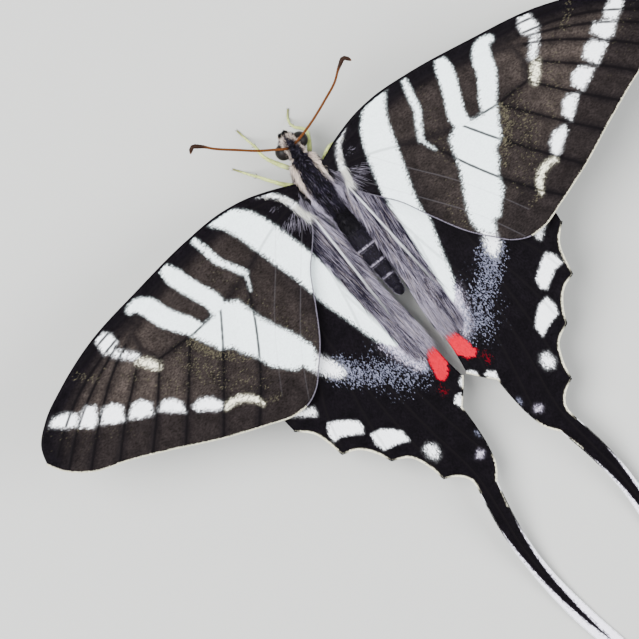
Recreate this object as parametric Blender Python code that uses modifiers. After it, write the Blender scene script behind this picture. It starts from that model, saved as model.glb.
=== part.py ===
"""A zebra swallowtail butterfly at rest on its feet with its wings spread, life size.

The butterfly looks along +Y, its right side is at +X, and the floor is the plane z = 0.
Sizes and places are in millimetres from a point on the midline between the eyes, seen from
above, and MM makes them metres. At the end the whole animal is shifted so that its origin is
the middle of its bounding box, on the floor.
"""
from math import cos, pi, radians, sin

import bpy
import bmesh
import numpy
from mathutils import Vector
from mathutils.geometry import delaunay_2d_cdt

MM = 0.001

# Clear space between one node's face and the next
GAP = 0.3

# The midline of the body: the head is turned a little to the animal's right
BODY_X = 0.1
HEAD_TURN = 0.35
TURN_START = -5.0
TURN_END = -0.5

# Head, neck and eyes
HEAD_CENTRE_Y = -0.4
HEAD_HEIGHT = 5.7
HEAD_RADII = (1.2, 1.15, 1.15)
HEAD_SIDE = 0.8
HEAD_BACK = -1.5
EYE_RADIUS = 1.0
EYE_CENTRE_Y = -0.45
EYE_HEIGHT = 5.75

# Mouth parts
PALP_OFFSET = 0.42
PALP_RADIUS = 0.3
COIL_CENTRE_Y = 0.0
COIL_HEIGHT = 3.5
COIL_RADIUS = 0.85
COIL_PITCH = 0.62
COIL_TURNS = 1.2
PROBOSCIS_RADIUS = 0.25

# Thorax: radius along its length, from the collar to the waist
THORAX_FRONT = HEAD_BACK - GAP
THORAX_REAR = -8.55
THORAX_PROFILE = ((0.75, THORAX_FRONT), (1.5, -2.45), (1.95, -3.6), (2.15, -5.2),
                  (1.95, -6.8), (1.55, -7.8), (1.1, THORAX_REAR))
THORAX_HEIGHT = 5.05
COLLAR_RISE = 0.55
THORAX_DEPTH = 1.05

# Abdomen: its rings, and the height of its middle line
ABDOMEN_FRONT = THORAX_REAR - GAP
ABDOMEN_RINGS = (-10.0, -11.8, -13.9, -15.9, -17.7, -19.1)
ABDOMEN_TIP = -20.3
ABDOMEN_RADIUS = 1.42
RING_GROOVE = 0.09
ABDOMEN_DROP = 0.85

# Wings: plate, ridge of a vein, and the shared surface between fore and hind wing
MEMBRANE = 0.5
RIDGE = 0.8
VEIN_HALF_WIDTH = 0.45
WING_ROOT_X = 2.0
WING_ROOT_HEIGHT = 5.95
WING_RISE = 0.19
WING_CURVE = 0.0015
WING_REAR_SLOPE = 0.02
WING_LIFT = 0.55
REAR_DROOP_START = -20.0
REAR_DROOP_BEND = 14.0
REAR_DROOP = 0.0042
TAIL_DROP_START = -40.0
TAIL_DROP_END = -64.0
TAIL_FLOOR = MEMBRANE / 2
RIGHT_SWEEP = radians(-2.3)

# Outline of a forewing on the right-hand side, from its root at the front round to its inner edge
FOREWING_ROOT = (-3.7, -6.9)
FOREWING_EDGE = ((2.68, -3.5), (4.48, -2.75), (7.08, -1.9), (10.08, -1.45), (14.78, -1.6),
                 (21.78, -2.5), (29.78, -3.95), (34.78, -5.8), (38.08, -7.5), (40.18, -9.5),
                 (40.73, -11.2), (39.78, -12.75), (37.38, -14.75), (33.78, -16.1),
                 (29.78, -17.9), (23.78, -20.75), (19.78, -22.3), (17.2, -23.2),
                 (15.3, -23.25), (13.6, -22.5), (12.0, -20.95), (10.28, -19.0), (7.88, -15.1),
                 (6.08, -12.0), (4.88, -10.7), (3.28, -8.8), (2.58, -7.5))

FOREWING_VEINS = {
    "costa": ((2.68, -3.5), (4.48, -2.75), (7.08, -1.9), (10.08, -1.45), (14.78, -1.6),
              (21.78, -2.5), (29.78, -3.95), (34.78, -5.8), (38.08, -7.5), (40.18, -9.5)),
    "radius": ((2.6, -4.4), (5.0, -3.7), (9.0, -2.95), (15.0, -2.95), (19.0, -3.7), (22.3, -4.7),
               (25.2, -5.8)),
    "radius_1": ((15.0, -2.95), (21.0, -3.5), (27.5, -4.3), (31.5, -5.2)),
    "radius_3": ((22.3, -4.7), (27.4, -5.4), (33.5, -7.4), (39.4, -11.2)),
    "radius_4": ((27.4, -5.9), (31.0, -7.4), (35.8, -10.2), (39.2, -13.0)),
    "radius_5": ((25.2, -5.8), (28.2, -7.2), (33.2, -10.7), (37.3, -14.4)),
    "cell_end": ((25.2, -5.8), (25.4, -7.6), (24.5, -9.7), (20.6, -9.9)),
    "media_1": ((25.4, -7.6), (28.7, -10.4), (31.7, -12.9), (34.4, -15.6)),
    "media_2": ((24.5, -9.7), (27.6, -13.3), (31.2, -17.1)),
    "media_3": ((20.6, -9.9), (24.4, -14.5), (27.9, -18.5)),
    "cubitus": ((2.6, -5.3), (6.3, -6.1), (11.6, -8.1), (15.4, -9.2), (20.6, -9.9)),
    "cubitus_1": ((16.2, -9.5), (18.3, -12.6), (22.7, -18.4), (24.2, -20.3)),
    "cubitus_2": ((11.9, -8.3), (14.8, -14.0), (19.0, -20.0), (20.6, -21.8)),
    "anal": ((2.6, -6.4), (4.6, -8.7), (8.3, -13.2), (11.9, -17.9), (14.8, -23.0)),
}

# Outline of a hindwing: runs that meet at the teeth of its margin
HINDWING_ROOT = (-5.9, -7.7)
HINDWING_LEAD = ((2.7, -6.0), (5.0, -7.9), (9.0, -10.6), (13.5, -14.2), (16.8, -18.4),
                 (18.2, -22.0), (18.08, -24.6))
HINDWING_SCALLOPS = (((18.08, -24.6), (16.4, -26.4), (15.95, -27.8), (15.58, -29.7)),
                     ((15.58, -29.7), (14.0, -30.3), (12.5, -32.1), (11.88, -33.5)),
                     ((11.88, -33.5), (10.0, -34.6), (9.15, -36.3), (8.68, -38.5)),
                     ((8.68, -38.5), (7.4, -39.2), (6.45, -40.4), (6.5, -42.3)))
TAIL_LINE = ((5.45, -42.3), (6.18, -46.1), (6.58, -50.0), (6.56, -53.5), (6.28, -56.9),
             (5.62, -61.3), (4.6, -65.9), (4.2, -67.2))
TAIL_HALF_WIDTH = ((1.05, -42.3), (0.98, -46.1), (0.85, -51.1), (0.85, -54.0), (0.95, -59.2),
                   (0.93, -63.3), (0.85, -65.9), (0.45, -67.2))
TAIL_TIP = (3.95, -67.9)
HINDWING_LOBE = ((4.4, -42.3), (3.4, -40.9), (2.85, -38.9), (2.55, -36.2), (2.48, -33.7))
HINDWING_NOTCH = ((2.48, -33.7), (1.23, -32.3), (0.28, -31.1))
HINDWING_INNER = ((0.28, -31.1), (0.65, -28.3), (0.78, -25.5), (0.62, -22.3), (0.95, -20.6),
                  (1.6, -19.2), (1.98, -16.5), (2.0, -12.0), (2.0, -8.2))

HINDWING_VEINS = {
    "subcosta": ((2.9, -6.9), (6.5, -9.6), (12.5, -15.2), (16.3, -20.4), (17.6, -24.1)),
    "radius": ((2.9, -6.9), (4.6, -9.6), (7.2, -13.5), (9.2, -18.0), (9.2, -22.6)),
    "radius_s": ((7.2, -13.5), (11.5, -20.0), (14.3, -25.5), (15.2, -29.1)),
    "media_1": ((9.3, -20.4), (11.0, -27.0), (11.6, -32.8)),
    "media_2": ((9.2, -22.6), (9.1, -30.0), (8.6, -37.6)),
    "cell_end": ((9.2, -22.6), (8.6, -24.6), (7.4, -25.6)),
    "tail_vein": ((7.4, -25.6), (6.7, -33.0), (5.7, -40.5), (6.18, -46.1), (6.58, -50.0),
                  (6.56, -53.5), (6.38, -55.5)),
    "cubitus": ((2.9, -7.4), (4.4, -13.0), (5.5, -19.0), (7.4, -25.6)),
    "cubitus_1": ((6.0, -21.3), (5.0, -31.0), (3.5, -38.6)),
    "cubitus_2": ((4.9, -16.0), (3.4, -25.0), (2.0, -32.4)),
    "anal": ((2.7, -8.0), (2.9, -15.0), (1.9, -21.5), (1.5, -28.6)),
}

# How finely the wings are drawn
EDGE_STEP = 1.5
VEIN_STEP = 2.1
FILL_STEP = 2.9
EDGE_CLEARANCE = 0.65
VEIN_SNAP = 0.75
SIDE_CLEARANCE = 0.4
FILL_CLEARANCE = 1.25

# Antennae: middle lines from the brow to the club
ANTENNA_RADIUS = 0.25
CLUB_RADIUS = 0.34
ANTENNA_LEFT = ((0.04, -0.45, 6.3), (-0.1, -0.45, 7.05), (-1.3, 0.3, 7.65), (-2.53, 1.12, 8.1),
                (-4.58, 2.8, 8.9), (-6.28, 4.25, 9.8), (-7.28, 5.3, 10.3), (-7.98, 5.75, 10.5),
                (-8.58, 5.3, 10.4))
ANTENNA_RIGHT = ((0.86, -0.48, 6.3), (1.0, -0.5, 7.05), (2.1, -0.27, 7.55), (3.9, 0.24, 8.05),
                 (6.22, 1.1, 8.9), (8.12, 1.9, 9.8), (9.62, 2.95, 10.3), (10.42, 3.3, 10.5),
                 (10.95, 2.6, 10.4))

# Legs: hip inside the thorax, thigh, knee, end of the shin, and the foot laid on the floor
LEG_RADII = (0.34, 0.34, 0.31, 0.27, 0.25, 0.25, 0.25)
FOOT_HEIGHT = 0.2
LEGS = {
    "leg_front_left": ((-0.6, -2.9, 4.5), (-1.5, -1.6, 3.8), (-2.53, 0.3, 4.3),
                       (-2.63, 1.95, 2.3), (-2.85, 3.2, 0.6), (-2.95, 3.8, FOOT_HEIGHT),
                       (-3.08, 4.7, FOOT_HEIGHT)),
    "leg_front_right": ((0.9, -2.9, 4.5), (1.9, -1.7, 3.8), (2.72, -0.3, 4.3),
                        (1.95, 1.2, 2.2), (1.95, 2.0, 0.6), (2.15, 2.45, FOOT_HEIGHT),
                        (2.7, 3.1, FOOT_HEIGHT)),
    "leg_mid_left": ((-1.1, -4.4, 4.3), (-2.3, -3.6, 3.9), (-3.38, -2.3, 4.5),
                     (-4.38, -0.75, 2.5), (-5.1, 0.3, 0.6), (-5.45, 0.85, FOOT_HEIGHT),
                     (-6.0, 1.65, FOOT_HEIGHT)),
    "leg_mid_right": ((1.2, -4.4, 4.3), (2.3, -3.7, 3.9), (3.4, -3.0, 4.5),
                      (4.9, -3.2, 2.5), (6.1, -3.9, 0.6), (6.7, -4.2, FOOT_HEIGHT),
                      (7.6, -4.7, FOOT_HEIGHT)),
    "leg_hind_left": ((-1.0, -6.4, 4.2), (-2.2, -7.3, 3.7), (-3.6, -9.2, 4.2),
                      (-5.0, -12.8, 2.3), (-5.9, -15.4, 0.6), (-6.1, -16.1, FOOT_HEIGHT),
                      (-6.5, -17.4, FOOT_HEIGHT)),
    "leg_hind_right": ((1.1, -6.4, 4.2), (2.3, -7.3, 3.7), (3.8, -9.0, 4.2),
                       (5.4, -12.4, 2.3), (6.4, -14.9, 0.6), (6.6, -15.6, FOOT_HEIGHT),
                       (7.1, -16.9, FOOT_HEIGHT)),
}
SHIN_END = 3
LEG_STEP = 0.9
SPUR_LENGTH = 0.85
SPUR_RADIUS = 0.2

# Colour, roughness of each part
FINISH = {
    "scales_black": ((0.02, 0.018, 0.022), 0.75),
    "scales_pale": ((0.72, 0.82, 0.84), 0.7),
    "fur_lilac": ((0.33, 0.29, 0.36), 0.9),
    "eye_dark": ((0.06, 0.05, 0.055), 0.25),
    "antenna_rust": ((0.35, 0.13, 0.03), 0.6),
    "leg_cream": ((0.66, 0.7, 0.42), 0.6),
    "proboscis_dark": ((0.07, 0.04, 0.03), 0.45),
}


def clear_scene():
    for thing in list(bpy.data.objects):
        bpy.data.objects.remove(thing)


def new_collection(name):
    collection = bpy.data.collections.new(name)
    bpy.context.scene.collection.children.link(collection)
    return collection


def make_material(name, colour, roughness):
    material = bpy.data.materials.new(name)
    material.use_nodes = True
    shader = material.node_tree.nodes["Principled BSDF"]
    shader.inputs["Base Color"].default_value = (*colour, 1.0)
    shader.inputs["Roughness"].default_value = roughness
    shader.inputs["Metallic"].default_value = 0.0
    return material


def ease(value):
    """A smooth step: 0 below 0, 1 above 1."""
    value = numpy.clip(value, 0.0, 1.0)
    return value * value * (3.0 - 2.0 * value)


def smooth_path(points, spacing):
    """A smooth curve through the points, about one new point for each spacing of its length.

    Each span is a cubic between two of the points. The direction at a point is the mean of the
    spans' own directions on its two sides, the shorter span counting more.
    """
    spots = numpy.array(points, dtype=float)
    length = numpy.linalg.norm(numpy.diff(spots, axis=0), axis=1)[:, None]
    slope = numpy.diff(spots, axis=0) / length
    tangent = numpy.empty_like(spots)
    tangent[1:-1] = (slope[:-1] * length[1:] + slope[1:] * length[:-1]) / (length[:-1] + length[1:])
    if len(spots) > 2:
        tangent[0] = 1.5 * slope[0] - 0.5 * tangent[1]
        tangent[-1] = 1.5 * slope[-1] - 0.5 * tangent[-2]
    else:
        tangent[0] = slope[0]
        tangent[-1] = slope[0]
    line = [spots[0]]
    for span in range(len(length)):
        count = max(1, round(float(length[span, 0]) / spacing))
        for step in range(1, count + 1):
            t = step / count
            start = (1 + 2 * t) * (1 - t) ** 2
            end = t * t * (3 - 2 * t)
            line.append(start * spots[span] + end * spots[span + 1]
                        + t * (1 - t) ** 2 * length[span, 0] * tangent[span]
                        - t * t * (1 - t) * length[span, 0] * tangent[span + 1])
    return numpy.array(line)


def body_x(y):
    """Sideways place of the body's middle line."""
    return BODY_X + HEAD_TURN * ease((y - TURN_START) / (TURN_END - TURN_START))


def head_x():
    return body_x(HEAD_CENTRE_Y)


def thorax_middle(y):
    """Height of the thorax's middle line, which rises to the collar."""
    return THORAX_HEIGHT + COLLAR_RISE * ease((y - THORAX_PROFILE[3][1]) / 3.4)


def thorax_radius(y):
    line = smooth_path(THORAX_PROFILE, 0.3)[::-1]
    return numpy.interp(y, line[:, 1], line[:, 0])


def thorax_side(y, z):
    """Distance of the thorax's side from the body's middle line at a height."""
    radius = thorax_radius(y)
    rise = (z - thorax_middle(y)) / (radius * THORAX_DEPTH)
    return radius * numpy.sqrt(numpy.clip(1.0 - rise * rise, 0.0, 1.0))


def evaluated_mesh(thing):
    """The mesh that the object shows, as a new mesh."""
    depsgraph = bpy.context.evaluated_depsgraph_get()
    depsgraph.update()
    return bpy.data.meshes.new_from_object(thing.evaluated_get(depsgraph))


def merge_close(mesh, distance=0.002 * MM):
    shape = bmesh.new()
    shape.from_mesh(mesh)
    bmesh.ops.remove_doubles(shape, verts=shape.verts, dist=distance)
    bmesh.ops.recalc_face_normals(shape, faces=shape.faces)
    shape.to_mesh(mesh)
    shape.free()


def move_points(mesh, rule):
    """Put every point of the mesh where the rule says; rule takes and gives millimetres."""
    flat = numpy.empty(len(mesh.vertices) * 3)
    mesh.vertices.foreach_get("co", flat)
    spots = rule(flat.reshape(-1, 3) / MM)
    mesh.vertices.foreach_set("co", (spots * MM).ravel())
    mesh.update()


def add_node(name, mesh, collection, material, smooth_angle=40.0):
    node = bpy.data.objects.new(name, mesh)
    mesh.name = name
    mesh.materials.clear()
    if material is not None:
        mesh.materials.append(material)
    mesh.shade_smooth()
    mesh.set_sharp_from_angle(angle=radians(smooth_angle))
    collection.objects.link(node)
    return node


def turned_mesh(profile, steps):
    """A closed body turned about the Z axis from (radius, height) points, top to bottom."""
    shape = bmesh.new()
    last = None
    for radius, height in profile:
        spot = shape.verts.new((radius * MM, 0.0, height * MM))
        if last is not None:
            shape.edges.new((last, spot))
        last = spot
    mesh = bpy.data.meshes.new("profile")
    shape.to_mesh(mesh)
    shape.free()
    turned = bpy.data.objects.new("profile", mesh)
    bpy.context.scene.collection.objects.link(turned)
    screw = turned.modifiers.new("turn", "SCREW")
    screw.axis = "Z"
    screw.angle = 2 * pi
    screw.steps = steps
    screw.render_steps = steps
    screw.use_merge_vertices = True
    screw.merge_threshold = 0.002 * MM
    result = evaluated_mesh(turned)
    bpy.data.objects.remove(turned)
    merge_close(result)
    return result


def along_y(spots):
    """Lay a body turned about Z down, so that its axis points along Y."""
    return numpy.stack([spots[:, 0], spots[:, 2], -spots[:, 1]], axis=1)


def ball_mesh(radii, centre, segments, rings):
    shape = bmesh.new()
    bmesh.ops.create_uvsphere(shape, u_segments=segments, v_segments=rings, radius=MM)
    mesh = bpy.data.meshes.new("ball")
    shape.to_mesh(mesh)
    shape.free()
    move_points(mesh, lambda spots: spots * numpy.array(radii) + numpy.array(centre))
    return mesh


def keep_side(mesh, point, direction):
    """Cut the mesh by a plane, keep the part behind the direction and close the cut flat."""
    shape = bmesh.new()
    shape.from_mesh(mesh)
    everything = list(shape.verts) + list(shape.edges) + list(shape.faces)
    cut = bmesh.ops.bisect_plane(shape, geom=everything, dist=0.0001 * MM,
                                 plane_co=Vector(point) * MM, plane_no=Vector(direction),
                                 clear_outer=True)
    rim = [item for item in cut["geom_cut"] if isinstance(item, bmesh.types.BMEdge)]
    bmesh.ops.contextual_create(shape, geom=rim)
    bmesh.ops.recalc_face_normals(shape, faces=shape.faces)
    shape.to_mesh(mesh)
    shape.free()


def tube_mesh(line, radii, resolution=2):
    """A tube with round section along a line, with a radius at each point and closed ends."""
    curve = bpy.data.curves.new("tube", "CURVE")
    curve.dimensions = "3D"
    curve.bevel_depth = MM
    curve.bevel_resolution = resolution
    curve.use_fill_caps = True
    spline = curve.splines.new("POLY")
    spline.points.add(len(line) - 1)
    for point, spot, radius in zip(spline.points, line, radii):
        point.co = (spot[0] * MM, spot[1] * MM, spot[2] * MM, 1.0)
        point.radius = radius
    tube = bpy.data.objects.new("tube", curve)
    bpy.context.scene.collection.objects.link(tube)
    mesh = evaluated_mesh(tube)
    bpy.data.objects.remove(tube)
    merge_close(mesh)
    return mesh


def spread(values, line, points):
    """A value for each point of a smooth line, from the values at the points it passes."""
    along = numpy.r_[0.0, numpy.linalg.norm(numpy.diff(line, axis=0), axis=1).cumsum()]
    knots = [along[numpy.linalg.norm(line - numpy.array(spot), axis=1).argmin()] for spot in points]
    return numpy.interp(along, knots, values)


def join_pieces(name, pieces, collection, material):
    """One closed body from overlapping closed meshes, with only its largest surface kept."""
    group = bpy.data.collections.new(name + "_pieces")
    bpy.context.scene.collection.children.link(group)
    for number, mesh in enumerate(pieces[1:]):
        add_node(f"{name}_piece_{number}", mesh, group, None)
    base = add_node(name, pieces[0], collection, material)
    join = base.modifiers.new("join", "BOOLEAN")
    join.operation = "UNION"
    join.operand_type = "COLLECTION"
    join.collection = group
    join.solver = "EXACT"
    joined = evaluated_mesh(base)
    base.modifiers.clear()
    for piece in list(group.objects):
        bpy.data.objects.remove(piece)
    bpy.data.collections.remove(group)
    keep_largest(joined)
    base.data = joined
    joined.name = name
    return base


def keep_largest(mesh):
    shape = bmesh.new()
    shape.from_mesh(mesh)
    bmesh.ops.remove_doubles(shape, verts=shape.verts, dist=0.002 * MM)
    left = set(shape.faces)
    surfaces = []
    while left:
        surface = {left.pop()}
        front = list(surface)
        while front:
            for edge in front.pop().edges:
                for face in edge.link_faces:
                    if face in left:
                        left.remove(face)
                        surface.add(face)
                        front.append(face)
        surfaces.append(surface)
    surfaces.sort(key=len)
    loose = [face for surface in surfaces[:-1] for face in surface]
    bmesh.ops.delete(shape, geom=loose, context="FACES")
    shape.to_mesh(mesh)
    shape.free()


def add_cutter(name, mesh, cutters):
    cutter = add_node(name, mesh, cutters, None)
    cutter.hide_render = True
    cutter.display_type = "WIRE"
    return cutter


def stand_clear(node, cutter):
    """End the node's root at the cutter, which is its parent piece grown by the gap."""
    cut = node.modifiers.new("root", "BOOLEAN")
    cut.operation = "DIFFERENCE"
    cut.object = cutter
    cut.solver = "EXACT"


def thorax_mesh(growth=0.0, steps=24):
    line = smooth_path(THORAX_PROFILE, 0.75)
    rim = [(radius + growth, y) for radius, y in line]
    if growth:
        rim[0] = (rim[0][0], THORAX_FRONT + growth)
        rim[-1] = (rim[-1][0], THORAX_REAR - growth)
    profile = [(0.0, rim[0][1]), *rim, (0.0, rim[-1][1])]
    mesh = turned_mesh(profile, steps)

    def place(spots):
        spots = along_y(spots)
        x = spots[:, 0] + body_x(spots[:, 1])
        z = spots[:, 2] * THORAX_DEPTH + thorax_middle(spots[:, 1])
        return numpy.stack([x, spots[:, 1], z], axis=1)

    move_points(mesh, place)
    return mesh


def abdomen_radius(y):
    """Radius of the abdomen at its middle: full behind the waist, thinner to the tip."""
    along = (y - ABDOMEN_FRONT) / (ABDOMEN_TIP - ABDOMEN_FRONT)
    swell = 0.80 + 0.2 * ease(along / 0.25)
    taper = 1.0 - 0.55 * ease((along - 0.35) / 0.75)
    return ABDOMEN_RADIUS * swell * taper


def abdomen_mesh():
    """Rings that swell between grooves, closed by a rounded tip."""
    stops = (ABDOMEN_FRONT, *ABDOMEN_RINGS)
    profile = [(0.0, ABDOMEN_FRONT)]
    for start, end in zip(stops, stops[1:]):
        profile.append((abdomen_radius(start) - RING_GROOVE, start))
        for share in (0.22, 0.78):
            y = start + share * (end - start)
            profile.append((abdomen_radius(y), y))
    last = ABDOMEN_RINGS[-1]
    profile.append((abdomen_radius(last) - RING_GROOVE, last))
    for angle in (25, 50, 72):
        y = last + (ABDOMEN_TIP - last) * sin(radians(angle))
        profile.append((abdomen_radius(last) * cos(radians(angle)), y))
    profile.append((0.0, ABDOMEN_TIP))
    mesh = turned_mesh(profile, 20)

    def place(spots):
        spots = along_y(spots)
        along = numpy.clip((spots[:, 1] - ABDOMEN_FRONT) / (ABDOMEN_TIP - ABDOMEN_FRONT), 0, 1)
        z = spots[:, 2] * THORAX_DEPTH + THORAX_HEIGHT - ABDOMEN_DROP * along ** 1.5
        return numpy.stack([spots[:, 0] + BODY_X, spots[:, 1], z], axis=1)

    move_points(mesh, place)
    return mesh


def head_mesh(growth=0.0):
    radii = [radius + growth for radius in HEAD_RADII]
    mesh = ball_mesh(radii, (head_x(), HEAD_CENTRE_Y, HEAD_HEIGHT), 20, 12)
    keep_side(mesh, (head_x() + HEAD_SIDE + growth, 0, 0), (1, 0, 0))
    keep_side(mesh, (head_x() - HEAD_SIDE - growth, 0, 0), (-1, 0, 0))
    keep_side(mesh, (0, HEAD_BACK - growth, 0), (0, -1, 0))
    return mesh


def eye_mesh(side):
    """Half a ball, its flat face towards the head's flat side."""
    inner = head_x() + side * (HEAD_SIDE + GAP)
    mesh = ball_mesh([EYE_RADIUS] * 3, (inner, EYE_CENTRE_Y, EYE_HEIGHT), 20, 12)
    keep_side(mesh, (inner, 0, 0), (-side, 0, 0))
    return mesh


def palp_mesh(side):
    """A furry palp that curves up before the face."""
    x = head_x() + side * PALP_OFFSET
    points = ((x, 0.2, 4.9), (x, 0.75, 5.1), (x, 1.05, 5.55), (x - side * 0.05, 1.12, 6.1))
    line = smooth_path(points, 0.25)
    radii = spread((0.8 * PALP_RADIUS, PALP_RADIUS, PALP_RADIUS, 0.45 * PALP_RADIUS), line, points)
    return tube_mesh(line, radii)


def proboscis_mesh():
    """A stem down from the head, then a coil whose radius shrinks by a pitch each turn."""
    x = head_x()
    stem = [(x, -0.5, 5.2), (x, -0.66, 4.4)]
    count = 22
    coil = []
    for step in range(count + 1):
        turn = COIL_TURNS * step / count
        angle = pi * 0.85 + 2 * pi * turn
        radius = COIL_RADIUS - COIL_PITCH * turn
        coil.append((x, COIL_CENTRE_Y + radius * cos(angle), COIL_HEIGHT + radius * sin(angle)))
    line = numpy.array(stem + coil)
    radii = numpy.interp(range(len(line)), (0, 4, len(line) - 1),
                         (PROBOSCIS_RADIUS, PROBOSCIS_RADIUS, 0.6 * PROBOSCIS_RADIUS))
    return tube_mesh(line, radii)


def antenna_mesh(points):
    line = smooth_path(points, 0.8)
    stem = ANTENNA_RADIUS
    radii = spread((stem,) * 6 + (1.1 * stem, CLUB_RADIUS, 0.7 * CLUB_RADIUS), line, points)
    return tube_mesh(line, radii)


def spur_mesh(foot_way, root, tilt):
    """A small cone that points along the foot and a little to one side."""
    way = (foot_way + tilt).normalized()
    shape = bmesh.new()
    bmesh.ops.create_cone(shape, cap_ends=True, segments=6, radius1=SPUR_RADIUS * MM,
                          radius2=0.25 * SPUR_RADIUS * MM, depth=SPUR_LENGTH * MM)
    turn = Vector((0, 0, 1)).rotation_difference(way).to_matrix()
    bmesh.ops.rotate(shape, verts=shape.verts, matrix=turn)
    centre = (Vector(root) + way * 0.5 * SPUR_LENGTH) * MM
    bmesh.ops.translate(shape, verts=shape.verts, vec=centre)
    mesh = bpy.data.meshes.new("spur")
    shape.to_mesh(mesh)
    shape.free()
    return mesh


def on_floor(spots):
    """Flatten whatever would reach under the floor: the soles of the feet."""
    spots = spots.copy()
    spots[:, 2] = numpy.maximum(spots[:, 2], 0.0)
    return spots


def leg_node(name, points, collection, material, thorax_cutter):
    line = smooth_path(points, LEG_STEP)
    line[:, 2] = numpy.maximum(line[:, 2], FOOT_HEIGHT)
    radii = spread(LEG_RADII, line, points)
    limb = tube_mesh(line, radii)
    move_points(limb, on_floor)
    shin = Vector(points[SHIN_END])
    foot_way = (Vector(points[SHIN_END + 1]) - shin).normalized()
    across = foot_way.cross(Vector((0, 0, 1))).normalized()
    spurs = [spur_mesh(foot_way, shin, across * 0.55 * way) for way in (-1, 1)]
    node = join_pieces(name, [limb, *spurs], collection, material)
    stand_clear(node, thorax_cutter)
    return node


def wing_surface(x, y):
    """Height of the surface that lies between the two wings of a side.

    It rises from the root outwards, less and less steeply, and falls a little to the rear.
    """
    out = x - WING_ROOT_X
    return (WING_ROOT_HEIGHT + WING_RISE * out - WING_CURVE * out * out
            + WING_REAR_SLOPE * (y - TURN_START))


def forewing_height(x, y):
    return wing_surface(x, y) + WING_LIFT


def hindwing_height(x, y):
    """Below the shared surface, drooping to the rear, with the tail's end flat on the floor."""
    back = numpy.maximum(REAR_DROOP_START - y, 0.0)
    bend = numpy.minimum(back, REAR_DROOP_BEND)
    droop = REAR_DROOP * bend * (2 * back - bend)
    hung = wing_surface(x, y) - WING_LIFT - droop
    share = ease((y - TAIL_DROP_START) / (TAIL_DROP_END - TAIL_DROP_START))
    return hung * (1 - share) + TAIL_FLOOR * share


def root_edge(span, height, count=4):
    """Points down the wing's root, a gap away from the side of the thorax."""
    edge = []
    for y in numpy.linspace(span[0], span[1], count):
        low = height(WING_ROOT_X, y) - RIDGE / 2
        edge.append((BODY_X + thorax_side(y, low) + GAP, y))
    return edge


def forewing_outline():
    front_to_back = smooth_path(FOREWING_EDGE, EDGE_STEP)
    root = root_edge(FOREWING_ROOT, forewing_height)
    return numpy.vstack([front_to_back, root[::-1]])


def hindwing_outline():
    runs = [HINDWING_LEAD, *HINDWING_SCALLOPS]
    tail = smooth_path(TAIL_LINE, EDGE_STEP)
    width = numpy.array(TAIL_HALF_WIDTH)[::-1]
    half = numpy.interp(tail[:, 1], width[:, 1], width[:, 0])
    edge = [smooth_path(run, EDGE_STEP)[:-1] for run in runs]
    edge.append(tail[1:] + numpy.stack([half[1:], 0 * half[1:]], axis=1))
    edge.append(numpy.array([TAIL_TIP]))
    edge.append((tail - numpy.stack([half, 0 * half], axis=1))[:0:-1])
    edge.append(smooth_path(HINDWING_LOBE, EDGE_STEP)[:-1])
    edge.append(smooth_path(HINDWING_NOTCH, EDGE_STEP)[:-1])
    edge.append(smooth_path(HINDWING_INNER, EDGE_STEP))
    edge.append(root_edge(HINDWING_ROOT, hindwing_height)[::-1])
    return numpy.vstack(edge)


def distance_to(line, spots):
    """Distance of each spot from a line of points joined by straight runs."""
    best = numpy.full(len(spots), numpy.inf)
    for start, end in zip(line, line[1:]):
        run = end - start
        share = numpy.clip((spots - start) @ run / (run @ run), 0.0, 1.0)
        best = numpy.minimum(best, numpy.linalg.norm(spots - start - share[:, None] * run, axis=1))
    return best


def inside(outline, spots):
    """Which spots a closed outline holds, by the number of its edges to the right of each."""
    crossings = numpy.zeros(len(spots), dtype=int)
    for start, end in zip(outline, numpy.roll(outline, -1, axis=0)):
        spans = (start[1] > spots[:, 1]) != (end[1] > spots[:, 1])
        height = end[1] - start[1] if end[1] != start[1] else 1.0
        meets = start[0] + (spots[:, 1] - start[1]) * (end[0] - start[0]) / height
        crossings += spans & (spots[:, 0] < meets)
    return crossings % 2 == 1


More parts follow.
